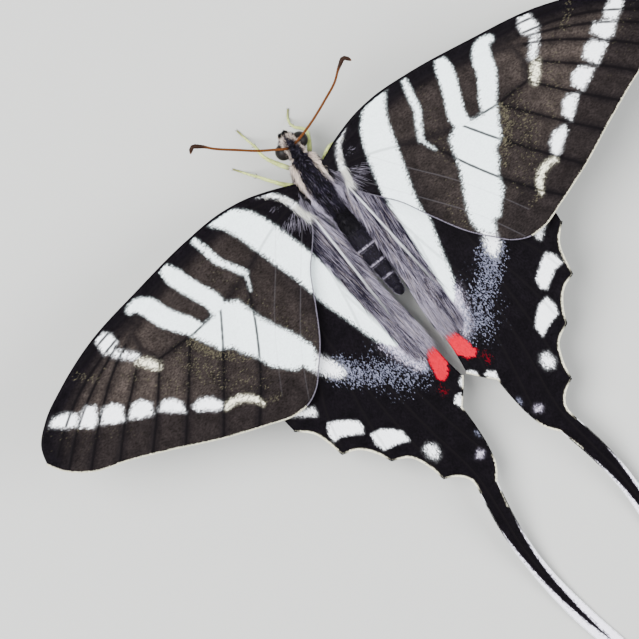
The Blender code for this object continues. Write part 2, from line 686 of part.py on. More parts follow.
def wing_plan(outline, veins):
    """Points, triangles and plate thickness of a wing seen from above.

    The points are the outline, the veins' middle lines, a row on each side of every vein, and
    a loose fill between. The plate is thickest on a vein and falls to the membrane beside it.
    """
    ring = numpy.vstack([outline, outline[:1]])
    points = [tuple(spot) for spot in outline]
    edges = [(spot, (spot + 1) % len(points)) for spot in range(len(points))]

    def nearest(spot):
        away = numpy.linalg.norm(numpy.array(points) - spot, axis=1)
        return int(away.argmin()), float(away.min())

    lines = {name: smooth_path(vein, VEIN_STEP) for name, vein in veins.items()}
    for name, line in lines.items():
        if name == "costa":
            continue
        last = None
        for spot in line[distance_to(ring, line) > EDGE_CLEARANCE]:
            index, away = nearest(spot)
            if away > VEIN_SNAP:
                points.append(tuple(spot))
                index = len(points) - 1
            if last is not None and last != index:
                edges.append((last, index))
            last = index
    middles = numpy.array(points)
    for name, line in lines.items():
        way = numpy.gradient(line, axis=0)
        way /= numpy.linalg.norm(way, axis=1)[:, None]
        across = numpy.stack([-way[:, 1], way[:, 0]], axis=1)
        for side in (-1, 1):
            beside = line + side * VEIN_HALF_WIDTH * across
            clear = inside(outline, beside) & (distance_to(ring, beside) > SIDE_CLEARANCE)
            for spot in beside[clear]:
                from_middles = numpy.linalg.norm(middles - spot, axis=1).min()
                if from_middles > SIDE_CLEARANCE and nearest(spot)[1] > SIDE_CLEARANCE:
                    points.append(tuple(spot))
    low, high = outline.min(axis=0), outline.max(axis=0)
    for row, y in enumerate(numpy.arange(low[1], high[1], FILL_STEP * cos(radians(30)))):
        for x in numpy.arange(low[0] + FILL_STEP / 2 * (row % 2), high[0], FILL_STEP):
            spot = numpy.array([[x, y]])
            free = inside(outline, spot)[0] and distance_to(ring, spot)[0] > FILL_CLEARANCE
            if free and nearest(spot[0])[1] > FILL_CLEARANCE:
                points.append((x, y))
    found = delaunay_2d_cdt([Vector(spot) for spot in points], edges, [], 1, 0.001)
    spots = numpy.array([tuple(spot) for spot in found[0]])
    away = numpy.min([distance_to(line, spots) for line in lines.values()], axis=0)
    crest = numpy.clip(1.0 - away / VEIN_HALF_WIDTH, 0.0, 1.0)
    return spots, found[2], MEMBRANE + (RIDGE - MEMBRANE) * crest


def sweep(spots, angle):
    """Turn a wing about its root in plan, by the full angle from a little way out."""
    pivot = numpy.array((3.0, -5.0))
    turn = angle * ease((spots[:, 0] - 2.6) / 4.0)
    x, y = (spots - pivot).T
    return numpy.stack([x * numpy.cos(turn) - y * numpy.sin(turn),
                        x * numpy.sin(turn) + y * numpy.cos(turn)], axis=1) + pivot


def wing_node(name, plan, height, side, angle, collection, material):
    """A sheet over the plan at its height, thickened to both sides of itself alike."""
    spots, faces, thickness = plan
    spots = sweep(spots, angle)
    heights = height(spots[:, 0], spots[:, 1])
    corners = numpy.stack([side * spots[:, 0], spots[:, 1], heights], axis=1) * MM
    if side < 0:
        faces = [face[::-1] for face in faces]
    mesh = bpy.data.meshes.new(name)
    mesh.from_pydata(corners.tolist(), [], faces)
    mesh.update()
    wing = add_node(name, mesh, collection, material)
    group = wing.vertex_groups.new(name="thickness")
    for index, value in enumerate(thickness):
        group.add([index], float(value) / RIDGE, "REPLACE")
    plate = wing.modifiers.new("plate", "SOLIDIFY")
    plate.thickness = RIDGE * MM
    plate.offset = 0.0
    plate.vertex_group = group.name
    plate.thickness_vertex_group = 0.0
    return wing


def centre_on_origin(root, nodes):
    """Shift the root so that the middle of the whole box, on the floor, is the origin."""
    corners = []
    for node in nodes:
        mesh = evaluated_mesh(node)
        flat = numpy.empty(len(mesh.vertices) * 3)
        mesh.vertices.foreach_get("co", flat)
        corners.append(flat.reshape(-1, 3))
        bpy.data.meshes.remove(mesh)
    spots = numpy.vstack(corners)
    middle = (spots.min(axis=0) + spots.max(axis=0)) / 2
    root.location = (-middle[0], -middle[1], 0.0)


def main():
    clear_scene()
    body = new_collection("zebra_swallowtail")
    cutters = new_collection("cutters")
    finish = {name: make_material(name, *look) for name, look in FINISH.items()}

    add_node("thorax", thorax_mesh(), body, finish["fur_lilac"])
    add_node("abdomen", abdomen_mesh(), body, finish["scales_black"])
    add_node("head", head_mesh(), body, finish["scales_black"])
    thorax_cutter = add_cutter("thorax_room", thorax_mesh(GAP), cutters)
    head_cutter = add_cutter("head_room", head_mesh(GAP), cutters)

    proboscis = add_node("proboscis", proboscis_mesh(), body, finish["proboscis_dark"])
    stand_clear(proboscis, head_cutter)
    antennae = {"left": ANTENNA_LEFT, "right": ANTENNA_RIGHT}
    for side_name, side in (("left", -1), ("right", 1)):
        add_node(f"eye_{side_name}", eye_mesh(side), body, finish["eye_dark"])
        palp = add_node(f"palp_{side_name}", palp_mesh(side), body, finish["scales_black"])
        stand_clear(palp, head_cutter)
        antenna = antenna_mesh(antennae[side_name])
        feeler = add_node(f"antenna_{side_name}", antenna, body, finish["antenna_rust"])
        stand_clear(feeler, head_cutter)

    for name, points in LEGS.items():
        leg_node(name, points, body, finish["leg_cream"], thorax_cutter)

    forewing = wing_plan(forewing_outline(), FOREWING_VEINS)
    hindwing = wing_plan(hindwing_outline(), HINDWING_VEINS)
    pale = finish["scales_pale"]
    for side_name, side, angle in (("left", -1, 0.0), ("right", 1, RIGHT_SWEEP)):
        wing_node(f"forewing_{side_name}", forewing, forewing_height, side, angle, body, pale)
        wing_node(f"hindwing_{side_name}", hindwing, hindwing_height, side, 0.0, body, pale)

    root = bpy.data.objects.new("butterfly", None)
    body.objects.link(root)
    nodes = [node for node in body.objects if node.type == "MESH"]
    centre_on_origin(root, nodes)
    for thing in (*nodes, thorax_cutter, head_cutter):
        thing.parent = root


main()
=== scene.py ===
"""The looks of a life-size zebra swallowtail butterfly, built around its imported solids.

Lengths inside the functions are millimetres in the butterfly's own frame: x to its right from
the midline, y forward from a point between the eyes, z up from the floor. `place` turns them
into the scene's metres.
"""

from math import atan2, pi, radians, tau

import bpy
import numpy as np
from bpy.props import FloatProperty, FloatVectorProperty, IntProperty, PointerProperty
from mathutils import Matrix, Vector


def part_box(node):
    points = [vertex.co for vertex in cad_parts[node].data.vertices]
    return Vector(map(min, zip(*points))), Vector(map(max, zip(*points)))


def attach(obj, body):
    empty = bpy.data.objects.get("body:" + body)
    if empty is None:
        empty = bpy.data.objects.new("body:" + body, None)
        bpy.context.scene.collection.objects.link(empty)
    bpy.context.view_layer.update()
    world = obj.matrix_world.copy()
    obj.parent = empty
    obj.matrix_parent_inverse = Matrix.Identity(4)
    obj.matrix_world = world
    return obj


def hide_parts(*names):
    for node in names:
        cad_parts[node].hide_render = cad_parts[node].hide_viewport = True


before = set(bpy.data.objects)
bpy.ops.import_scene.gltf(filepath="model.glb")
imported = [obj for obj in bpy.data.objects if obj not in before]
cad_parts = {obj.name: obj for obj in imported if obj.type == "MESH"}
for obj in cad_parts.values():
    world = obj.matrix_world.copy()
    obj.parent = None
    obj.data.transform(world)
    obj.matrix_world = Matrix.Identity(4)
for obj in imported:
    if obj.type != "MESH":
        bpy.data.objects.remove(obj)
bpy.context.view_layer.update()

bl_info = {
    "name": "Zebra swallowtail butterfly",
    "version": (1, 0, 0),
    "blender": (4, 5, 0),
    "location": "View3D > Sidebar > Butterfly",
    "description": "Builds a life-size zebra swallowtail with patterned wings and a furry body",
    "category": "Add Mesh",
}

MM = 0.001
UP = (0.0, 0.0, 1.0)
SIDES = (("left", -1), ("right", 1))

# Body: the same middle line, heights and lengths as the solids have
BODY_X = 0.1
HEAD_TURN = 0.35
TURN_START = -5.0
TURN_END = -0.5
HEAD_CENTRE_Y = -0.4
EYE_INNER = 1.1
EYE_RADIUS = 1.0
EYE_CENTRE = (-0.45, 5.75)
THORAX_FRONT = -1.8
THORAX_HEIGHT = 5.05
ABDOMEN_FRONT = -8.85
ABDOMEN_RINGS = (-10.0, -11.8, -13.9, -15.9, -17.7, -19.1)
ABDOMEN_TIP = -20.3
ABDOMEN_RADIUS = 1.42
ABDOMEN_DROP = 0.85

RING_STRENGTHS = (0.1, 1.0, 1.0, 0.7)
ABDOMEN_TUFTS = 9000
HEAD_TUFTS = 7000

# The pale stripe beside the back: places along the body, and its inner and outer edge there
STRIPE_INNER = ((-8.5, -7.5, -5.5, -3.25, -1.8, -0.3, 0.6),
                (1.15, 1.2, 1.3, 1.02, 0.84, 0.6, 0.22))
STRIPE_OUTER = ((-8.5, -7.5, -5.5, -4.5, -3.25, -1.8, -0.3, 0.6),
                (2.6, 2.6, 2.2, 1.85, 1.52, 1.25, 0.98, 0.55))

# Skin of head and thorax: place along the body, half width, half height, height of the middle
SKIN_STATIONS = ((0.72, 0.12, 0.15, 5.6), (0.6, 0.42, 0.55, 5.62), (0.25, 0.74, 0.92, 5.68),
                 (-0.4, 0.86, 1.06, 5.7), (-1.15, 0.76, 0.88, 5.66), (-1.6, 0.64, 0.7, 5.62),
                 (-1.95, 0.86, 0.86, 5.58), (-2.5, 1.38, 1.42, 5.5), (-3.6, 1.82, 1.92, 5.32),
                 (-5.2, 2.0, 2.1, 5.05), (-6.8, 1.82, 1.9, 5.05), (-7.8, 1.42, 1.5, 5.05),
                 (-8.7, 1.06, 1.12, 5.05))

# Wing surface, shared by the two wings of a side
WING_ROOT_X = 2.0
WING_ROOT_HEIGHT = 5.95
WING_RISE = 0.19
WING_CURVE = 0.0015
WING_REAR_SLOPE = 0.02
WING_LIFT = 0.55
REAR_DROOP_START = -20.0
REAR_DROOP_BEND = 14.0
REAR_DROOP = 0.0042
TAIL_DROP_START = -40.0
TAIL_DROP_END = -64.0
TAIL_FLOOR = 0.25
RIGHT_SWEEP = radians(-2.3)
SWEEP_PIVOT = (3.0, -5.0)

FOREWING_FRONT = ((1.3, -4.1), (2.68, -3.5), (4.48, -2.75), (7.08, -1.9), (10.08, -1.45),
                  (14.78, -1.6), (21.78, -2.5), (29.78, -3.95), (34.78, -5.8), (38.08, -7.5),
                  (40.18, -9.5), (40.73, -11.2))
FOREWING_REAR = ((40.73, -11.2), (39.78, -12.75), (37.38, -14.75), (33.78, -16.1),
                 (29.78, -17.9), (23.78, -20.75), (19.78, -22.3), (17.2, -23.2),
                 (15.3, -23.25), (13.6, -22.5), (12.0, -20.95), (10.28, -19.0), (7.88, -15.1),
                 (6.08, -12.0), (4.88, -10.7), (3.28, -8.8), (2.58, -7.5), (1.3, -6.3))
TORNUS_X = 15.3

FOREWING_VEINS = (
    ((2.6, -4.4), (5.0, -3.7), (9.0, -2.95), (15.0, -2.95), (19.0, -3.7), (22.3, -4.7),
     (25.2, -5.8)),
    ((15.0, -2.95), (21.0, -3.5), (27.5, -4.3), (31.5, -5.2)),
    ((22.3, -4.7), (27.4, -5.4), (33.5, -7.4), (39.4, -11.2)),
    ((27.4, -5.9), (31.0, -7.4), (35.8, -10.2), (39.2, -13.0)),
    ((25.2, -5.8), (28.2, -7.2), (33.2, -10.7), (37.3, -14.4)),
    ((25.2, -5.8), (25.4, -7.6), (24.5, -9.7)),
    ((24.5, -9.7), (22.5, -9.75), (20.6, -9.9)),
    ((25.4, -7.6), (28.7, -10.4), (31.7, -12.9), (34.4, -15.6)),
    ((24.5, -9.7), (27.6, -13.3), (31.2, -17.1)),
    ((20.6, -9.9), (24.4, -14.5), (27.9, -18.5)),
    ((2.6, -5.3), (6.3, -6.1), (11.6, -8.1), (15.4, -9.2), (20.6, -9.9)),
    ((16.2, -9.5), (18.3, -12.6), (22.7, -18.4), (24.2, -20.3)),
    ((11.9, -8.3), (14.8, -14.0), (19.0, -20.0), (20.6, -21.8)),
)
FOREWING_FOLDS = (
    ((2.6, -6.4), (4.6, -8.7), (8.3, -13.2), (11.9, -17.9), (14.8, -23.0)),
    ((6.3, -6.3), (9.1, -9.9), (12.0, -13.4), (16.8, -20.9)),
)

HINDWING_OUTER = (
    ((1.35, -5.6), (2.7, -6.0), (5.0, -7.9), (9.0, -10.6), (13.5, -14.2), (16.8, -18.4),
     (18.2, -22.0), (18.08, -24.6)),
    ((18.08, -24.6), (16.4, -26.4), (15.95, -27.8), (15.58, -29.7)),
    ((15.58, -29.7), (14.0, -30.3), (12.5, -32.1), (11.88, -33.5)),
    ((11.88, -33.5), (10.0, -34.6), (9.15, -36.3), (8.68, -38.5)),
    ((8.68, -38.5), (7.4, -39.2), (6.45, -40.4), (6.5, -42.3)),
)
HINDWING_INNER = (
    ((1.35, -5.6), (1.5, -8.2), (2.0, -12.0), (1.98, -16.5), (1.6, -19.2), (0.95, -20.6),
     (0.62, -22.3), (0.78, -25.5), (0.65, -28.3), (0.28, -31.1)),
    ((0.28, -31.1), (1.23, -32.3), (2.48, -33.7)),
    ((2.48, -33.7), (2.55, -36.2), (2.85, -38.9), (3.4, -40.9), (4.4, -42.3)),
)
TAIL_LINE = ((5.45, -42.3), (6.18, -46.1), (6.58, -50.0), (6.56, -53.5), (6.28, -56.9),
             (5.62, -61.3), (4.6, -65.9), (4.2, -67.2), (3.95, -67.9))
TAIL_HALF_WIDTH = ((0.0, -67.9), (0.45, -67.2), (0.85, -65.9), (0.93, -63.3), (0.95, -59.2),
                   (0.85, -54.0), (0.85, -51.1), (0.98, -46.1), (1.05, -42.3))
LOBE_LINE = ((3.55, -41.3), (4.3, -42.25), (4.45, -43.2), (4.75, -44.2), (5.02, -45.2))
TAIL_START = -42.3
TAIL_TIP = -67.9

HINDWING_VEINS = (
    ((2.9, -6.9), (6.5, -9.6), (12.5, -15.2), (16.3, -20.4), (17.6, -24.1)),
    ((2.9, -6.9), (4.6, -9.6), (7.2, -13.5), (9.2, -18.0), (9.2, -22.6)),
    ((7.2, -13.5), (11.5, -20.0), (14.3, -25.5), (15.2, -29.1)),
    ((9.3, -20.4), (11.0, -27.0), (11.6, -32.8)),
    ((9.2, -22.6), (9.1, -30.0), (8.6, -37.6)),
    ((9.2, -22.6), (8.6, -24.6), (7.4, -25.6)),
    ((7.4, -25.6), (6.7, -33.0), (5.7, -40.5), (6.18, -46.1), (6.58, -50.0), (6.56, -53.5)),
    ((2.9, -7.4), (4.4, -13.0), (5.5, -19.0), (7.4, -25.6)),
    ((6.0, -21.3), (5.0, -31.0), (3.5, -38.6)),
    ((4.9, -16.0), (3.4, -25.0), (2.0, -32.4)),
)

# Markings are drawn from a line this far to the left of the midline
MARK_OFFSET = 0.22
# Marks are measured as far as this beside them, and lie this deep below zero where there are none
MARK_REACH = 2.0
NO_MARK = -3.0
# Width of a wing scale, and how far a mark's edge shifts from one scale to the next
SCALE_WIDTH = 0.075
TOOTH = 0.26
FRINGE_SPACING = 0.075
# How far pale scales are strewn beside a mark, and their greatest share
HALO = 0.55
HALO_SHARE = 0.2
VEIN_TONE = (0.0025, 0.002, 0.0025)
ROOT_VEIN_TONE = (0.006, 0.005, 0.0055)
FOLD_TONE = (0.16, 0.15, 0.17)

# Marks as ribbons: colour, how ragged the edge is, and a line of (x, y, width)
RIBBONS = (
    ("white", 1.0, ((6.0, -2.4, 0.1), (5.0, -3.1, 0.16), (4.2, -4.0, 0.25), (3.7, -5.1, 0.38),
                    (3.35, -6.3, 0.52), (3.1, -7.3, 0.55), (2.95, -8.2, 0.4))),
    ("mint", 0.9, ((14.2, -2.1, 0.45), (13.8, -4.0, 0.62), (13.5, -5.5, 0.6), (12.9, -6.5, 0.48),
                   (12.3, -7.6, 0.5), (12.05, -8.1, 0.5))),
    ("mint", 0.8, ((12.0, -8.0, 0.3), (12.3, -9.0, 0.12), (12.7, -9.9, 0.02))),
    ("mint", 0.8, ((24.1, -3.75, 0.7), (23.3, -3.75, 1.3), (22.4, -4.6, 1.9), (21.8, -6.4, 2.0),
                   (21.1, -7.6, 1.9), (20.1, -9.0, 1.7), (19.6, -9.7, 1.2))),
    ("mint", 0.8, ((18.5, -2.65, 1.1), (18.3, -3.6, 1.7), (17.8, -5.3, 1.7), (17.1, -7.0, 1.7),
                   (16.6, -8.3, 1.75), (16.6, -9.4, 1.7))),
    ("white", 1.4, ((28.2, -6.2, 0.5), (27.2, -7.4, 0.55), (26.6, -8.0, 0.45))),
    ("cream", 1.5, ((26.7, -8.6, 0.4), (26.0, -9.4, 0.6), (25.4, -10.2, 0.45))),
    ("cream", 1.2, ((22.3, -18.15, 0.35), (21.1, -18.15, 0.5), (20.2, -18.6, 0.5),
                    (19.4, -19.4, 0.35), (19.1, -20.3, 0.1))),
)
# Marks as closed patches
PATCHES = (
    ("mint", 1.0, ((12.0, -1.65), (11.0, -2.9), (10.4, -4.1), (10.0, -5.3), (9.7, -6.4),
                   (9.35, -7.6), (8.95, -9.1), (8.55, -10.5), (8.15, -11.7), (7.8, -13.3),
                   (7.6, -14.9), (7.3, -16.1), (6.5, -18.6), (5.9, -20.8), (5.4, -22.4),
                   (4.7, -23.8), (3.9, -24.8), (3.5, -23.6), (3.6, -20.2), (3.75, -17.4),
                   (4.15, -14.9), (4.55, -13.3), (5.0, -11.7), (5.45, -10.1), (5.8, -8.7),
                   (6.15, -7.3), (6.5, -6.1), (6.9, -4.8), (7.55, -3.5), (8.5, -2.4),
                   (9.65, -1.6))),
    ("mint", 1.1, ((20.6, -9.9), (17.5, -9.75), (16.9, -9.0), (15.75, -9.25), (14.5, -10.0),
                   (14.2, -11.1), (13.85, -12.6), (13.2, -14.1), (12.5, -15.5), (11.8, -17.0),
                   (11.35, -18.3), (11.4, -19.3), (12.0, -20.4), (12.5, -20.8), (12.9, -20.4),
                   (13.25, -19.6), (14.1, -19.5), (15.0, -18.5), (16.0, -17.5), (16.4, -16.0), (17.5, -14.5),
                   (17.75, -13.6), (19.1, -12.75), (19.6, -11.6), (20.1, -10.75))),
    ("white", 1.6, ((12.6, -20.8), (11.9, -22.0), (11.1, -22.9), (10.5, -23.2), (10.2, -22.6),
                    (10.5, -21.6), (11.1, -20.5), (11.5, -19.7))),
    ("white", 1.0, ((28.9, -4.1), (27.9, -3.8), (27.3, -4.5), (27.25, -5.5), (28.4, -6.1),
                    (29.05, -5.75))),
    ("white", 1.0, ((38.25, -8.25), (37.4, -7.8), (36.1, -8.2), (35.2, -9.0), (36.0, -9.9),
                    (37.0, -9.4))),
    ("white", 1.0, ((35.9, -10.1), (34.9, -9.25), (33.9, -9.0), (33.2, -9.5), (34.0, -10.9),
                    (34.75, -11.1))),
    ("white", 1.0, ((33.8, -11.4), (32.8, -10.25), (31.7, -10.4), (31.0, -11.25),
                    (31.75, -12.6), (32.7, -12.1))),
    ("white", 1.0, ((31.1, -12.75), (30.0, -11.8), (29.0, -12.0), (28.4, -12.9),
                    (29.0, -13.9), (30.1, -13.4))),
    ("white", 1.0, ((28.2, -14.0), (27.3, -13.5), (26.5, -13.8), (25.8, -14.8), (26.1, -15.8),
                    (27.2, -14.9))),
    ("white", 1.0, ((25.1, -15.9), (23.9, -15.8), (23.0, -16.4), (22.5, -17.4), (22.6, -17.9),
                    (23.3, -17.8), (24.1, -17.1), (25.0, -16.5))),
)
HINDWING_PATCHES = (
    ("white", 1.0, ((17.6, -23.1), (16.3, -23.4), (15.2, -23.9), (15.4, -24.7),
                    (16.1, -24.2))),
    ("white", 0.7, ((15.0, -26.2), (13.9, -26.7), (12.4, -27.9), (12.3, -28.8),
                    (12.7, -29.3), (13.7, -28.7), (14.7, -28.1), (15.6, -28.1),
                    (15.6, -27.1))),
    ("white", 0.7, ((12.1, -30.0), (11.0, -30.2), (10.0, -31.0), (9.3, -31.8), (9.3, -33.0),
                    (10.2, -32.6), (11.1, -32.3), (12.0, -32.1), (12.3, -31.1))),
    ("white", 1.4, ((8.5, -34.8), (7.9, -34.75), (7.5, -35.3), (7.6, -35.9), (8.2, -36.3),
                    (8.6, -35.7))),
    ("lilac", 1.3, ((4.15, -38.6), (3.85, -38.9), (4.2, -39.2), (4.55, -38.95))),
    ("blue", 1.2, ((3.0, -36.8), (2.88, -37.0), (2.95, -37.3), (3.08, -37.0))),
    ("white", 0.7, ((2.9, -32.9), (2.4, -32.4), (1.9, -32.5), (2.6, -33.9))),
    ("lilac", 3.2, ((5.0, -23.2), (4.6, -24.8), (3.7, -27.0), (3.1, -27.6), (3.1, -25.5),
                    (3.6, -23.4))),
    ("white", 0.7, ((1.3, -31.7), (0.9, -31.2), (0.2, -31.0), (0.8, -31.9), (1.2, -32.1))),
)
# Strewn pale scales: reach to each side, and a line of (x, y, share of scales)
FOREWING_DUST = (
    (0.9, ((21.0, -10.4, 0.6), (20.4, -12.2, 0.65), (19.2, -13.6, 0.55), (17.4, -15.4, 0.2))),
    (2.2, ((22.5, -10.9, 0.14), (22.0, -13.4, 0.18), (20.4, -16.0, 0.12), (18.0, -18.5, 0.08))),
    (1.6, ((29.8, -7.2, 0.05), (27.4, -10.8, 0.1), (24.8, -13.8, 0.08))),
    (0.9, ((32.8, -5.8, 0.2), (31.2, -7.4, 0.22))),
    (0.7, ((18.9, -20.2, 0.3), (17.3, -20.7, 0.25))),
    (3.0, ((31.5, -13.5, 0.03), (36.5, -10.5, 0.05), (38.5, -9.3, 0.05))),
    (2.4, ((14.8, -5.0, 0.05), (12.5, -12.5, 0.06), (10.0, -18.5, 0.08))),
)
HINDWING_DUST = (
    (1.2, ((4.6, -23.0, 0.8), (4.3, -24.8, 0.7), (3.9, -26.6, 0.55), (3.4, -28.2, 0.3),
           (3.2, -29.4, 0.05))),
    (2.3, ((10.4, -22.6, 0.7), (9.2, -24.0, 0.48), (7.5, -25.2, 0.48), (6.2, -26.3, 0.48),
           (5.2, -27.7, 0.4), (4.6, -29.2, 0.1))),
    (3.6, ((7.4, -24.6, 0.12), (5.8, -27.6, 0.1))),
)
RED_PATCH = ((2.15, -26.8), (1.6, -26.4), (1.0, -26.5), (0.6, -27.5), (0.85, -29.0),
             (1.5, -30.0), (2.3, -30.4), (2.85, -29.9), (2.75, -29.0), (2.5, -27.8))
RED_DOT = ((3.2, -30.8, 0.35), (3.15, -31.4, 0.5))
RED_STRIPE_BELOW = ((10.2, -11.6, 0.5), (8.9, -15.5, 0.75), (7.6, -20.5, 0.8), (5.9, -25.5, 0.8),
                    (3.9, -29.0, 0.9), (1.9, -30.2, 0.9))
# Half width of the black line down the tail, on the inner and on the outer side
TAIL_BLACK = ((0.0, 0.0, -64.8), (0.12, 0.14, -62.5), (0.24, 0.28, -60.5), (0.4, 0.44, -57.0),
              (0.52, 0.56, -53.5), (0.64, 0.62, -51.5), (0.76, 0.72, -50.0), (0.86, 0.84, -48.6),
              (0.96, 0.94, -47.2), (1.2, 1.2, -46.2), (2.0, 2.0, -45.6))
# How many times faster the depth of a margin's line falls beside it than a mark's
LINE_FALL = 3.0

# Antennae, from the brow to the club
ANTENNAE = {
    "left": ((0.04, -0.45, 6.3), (-0.1, -0.45, 7.05), (-1.3, 0.3, 7.65), (-2.53, 1.12, 8.1),
             (-4.58, 2.8, 8.9), (-6.28, 4.25, 9.8), (-7.28, 5.3, 10.3), (-7.98, 5.75, 10.5),
             (-8.58, 5.3, 10.4)),
    "right": ((0.86, -0.48, 6.3), (1.0, -0.5, 7.05), (2.1, -0.27, 7.55), (3.9, 0.24, 8.05),
              (6.22, 1.1, 8.9), (8.12, 1.9, 9.8), (9.62, 2.95, 10.3), (10.42, 3.3, 10.5),
              (10.95, 2.6, 10.4)),
}
RING_LENGTH = 0.3

# Legs: hip, thigh, knee, end of the shin, ankle, and the foot laid on the floor
FOOT_HEIGHT = 0.13
LEGS = {
    "front_left": ((-0.6, -2.9, 4.5), (-1.5, -1.6, 3.8), (-2.53, 0.3, 4.3), (-2.63, 1.95, 2.3),
                   (-2.85, 3.2, 0.6), (-2.95, 3.8, FOOT_HEIGHT), (-3.08, 4.7, FOOT_HEIGHT)),
    "front_right": ((0.9, -2.9, 4.5), (1.9, -1.7, 3.8), (2.72, -0.3, 4.3), (1.95, 1.2, 2.2),
                    (1.95, 2.0, 0.6), (2.15, 2.45, FOOT_HEIGHT), (2.7, 3.1, FOOT_HEIGHT)),
    "mid_left": ((-1.1, -4.4, 4.3), (-2.3, -3.6, 3.9), (-3.38, -2.3, 4.5), (-4.38, -0.75, 2.5),
                 (-5.1, 0.3, 0.6), (-5.45, 0.85, FOOT_HEIGHT), (-6.0, 1.65, FOOT_HEIGHT)),
    "mid_right": ((1.2, -4.4, 4.3), (2.3, -3.7, 3.9), (3.4, -3.0, 4.5), (4.9, -3.2, 2.5),
                  (6.1, -3.9, 0.6), (6.7, -4.2, FOOT_HEIGHT), (7.6, -4.7, FOOT_HEIGHT)),
    "hind_left": ((-1.0, -6.4, 4.2), (-2.2, -7.3, 3.7), (-3.6, -9.2, 4.2), (-5.0, -12.8, 2.3),
                  (-5.9, -15.4, 0.6), (-6.1, -16.1, FOOT_HEIGHT), (-6.5, -17.4, FOOT_HEIGHT)),
    "hind_right": ((1.1, -6.4, 4.2), (2.3, -7.3, 3.7), (3.8, -9.0, 4.2), (5.4, -12.4, 2.3),
                   (6.4, -14.9, 0.6), (6.6, -15.6, FOOT_HEIGHT), (7.1, -16.9, FOOT_HEIGHT)),
}
SHIN_START = 2
SHIN_END = 3
LEG_RADII = (0.27, 0.27, 0.18, 0.14, 0.115, 0.11, 0.1)
FOOT_JOINT = 0.75

# Lamps: place and size in metres. The picture's right is this way in the butterfly's plan
LAMPS = {"key": ((-0.28, 0.2, 0.55), 0.5), "fill": ((0.35, -0.25, 0.4), 0.45)}
SKY_COLOUR = (0.9, 0.95, 1.0, 1.0)
SKY_STRENGTH = 0.9
VIEW_RIGHT = (0.787, -0.617)
VIEW_MIDDLE = (-8.64, -16.9, 0.0)
WING_LEVEL = 0.008
SENSOR_WIDTH = 36.0


def paint(red, green, blue):
    """A colour picked in 0..255 display values, as linear light."""
    value = np.array([red, green, blue]) / 255.0
    linear = np.where(value <= 0.04045, value / 12.92, ((value + 0.055) / 1.055) ** 2.4)
    return tuple(float(part) for part in linear)


def shades(colours, names):
    """Colours of the group as arrays, by their names."""
    return [np.array(getattr(colours, name)) for name in names.split()]


def colour(name, description, *display):
    """A colour that a user can change."""
    return FloatVectorProperty(name=name, description=description, subtype="COLOR", size=3,
                               min=0.0, max=1.0, default=paint(*display))


def length(name, description, millimetres):
    """A length that a user can change."""
    return FloatProperty(name=name, description=description, unit="LENGTH", subtype="DISTANCE",
                         precision=5, min=0.0, default=millimetres * MM)


class ButterflySizes(bpy.types.PropertyGroup):
    """Sizes of the fine forms that the solids leave out."""

    membrane: length("Wing membrane", "Thickness of the wing between its veins", 0.12)
    vein: length("Vein height", "How far a vein stands out of each face of the wing", 0.07)
    sag: length("Panel sag", "How deep the membrane hangs between the veins", 0.13)
    fringe: length("Fringe", "Length of the scales along the wing margins", 0.24)
    fur: length("Body hair", "Length of the hair on the thorax", 0.95)
    lock: length("Long hair", "Length of the hair along the inner edge of the hindwing", 4.2)
    hair: length("Hair width", "Width of one tuft of hair at its root", 0.06)
    feeler: length("Feeler radius", "Radius of an antenna's shaft", 0.14)
    club: length("Club radius", "Radius of an antenna's club", 0.25)
    tongue: length("Tongue radius", "Radius of the coiled tongue", 0.11)
    tufts: IntProperty(name="Tufts", description="Tufts of hair on the thorax", min=100,
                       default=12000)


class ButterflyColours(bpy.types.PropertyGroup):
    """Colours of scales, hair and horn."""

    black: colour("Black scales", "Dark stripes near the body and the hindwing", 9, 7, 10)
    brown: colour("Brown scales", "Outer part of the forewing", 69, 61, 56)
    mint: colour("Band", "Broad pale bands", 236, 247, 249)
    white: colour("White spots", "Rows of spots along the margins", 246, 248, 252)
    cream: colour("Cream marks", "Thin bars and edges", 236, 231, 206)
    olive: colour("Olive scales", "Scales strewn over the forewing", 66, 62, 50)
    tail: colour("Tail scales", "White edges of the tail", 236, 232, 246)
    blue: colour("Blue dust", "Pale scales strewn on the hindwing", 99, 101, 119)
    red: colour("Red spot", "Spot at the inner corner of the hindwing", 180, 0, 36)
    stripe: colour("Body stripe", "Cream stripes from the face to the wings", 240, 222, 208)
    lilac: colour("Lilac hair", "Pale hair of thorax and hindwing", 186, 178, 198)
    dusk: colour("Dusky hair", "Dark streaks among the lilac hair", 44, 39, 56)
    belly: colour("Belly", "Underside of the body", 158, 150, 130)
    eye: colour("Eye", "Compound eye", 15, 11, 10)
    rust: colour("Antenna", "Shaft of the antenna", 84, 45, 12)
    # Dusky and lilac are also painted on some tufts of the black coat as glints, which are painted
    # highlights.
    maroon: colour("Club", "Club of the antenna", 34, 17, 8)
    leg: colour("Leg", "Pale scales of the legs", 196, 206, 128)
    horn: colour("Tongue", "Coiled tongue and claws", 46, 29, 18)


class ButterflyStage(bpy.types.PropertyGroup):
    """Floor, light and camera."""

    floor: colour("Floor", "Plain pale floor", 178, 178, 175)
    key: FloatProperty(name="Key light", description="Power of the large soft light", unit="POWER",
                       min=0.0, default=12.0)
    fill: FloatProperty(name="Fill light", description="Power of the light from the other side",
                        unit="POWER", min=0.0, default=4.4)
    view_height: length("Camera height", "Height of the camera above the floor", 500.0)
    view_width: length("View width", "Width of the picture at the wings", 68.0)


# Shapes


def ease(value):
    """A smooth step: 0 below 0, 1 above 1."""
    value = np.clip(value, 0.0, 1.0)
    return value * value * (3.0 - 2.0 * value)


def bump(value):
    """A smooth hill: 1 at 0, falling to 0 at distance 1."""
    return 1.0 - ease(np.abs(value))


def unit(ways):
    """Directions made one long."""
    return ways / np.linalg.norm(ways, axis=-1)[..., None]


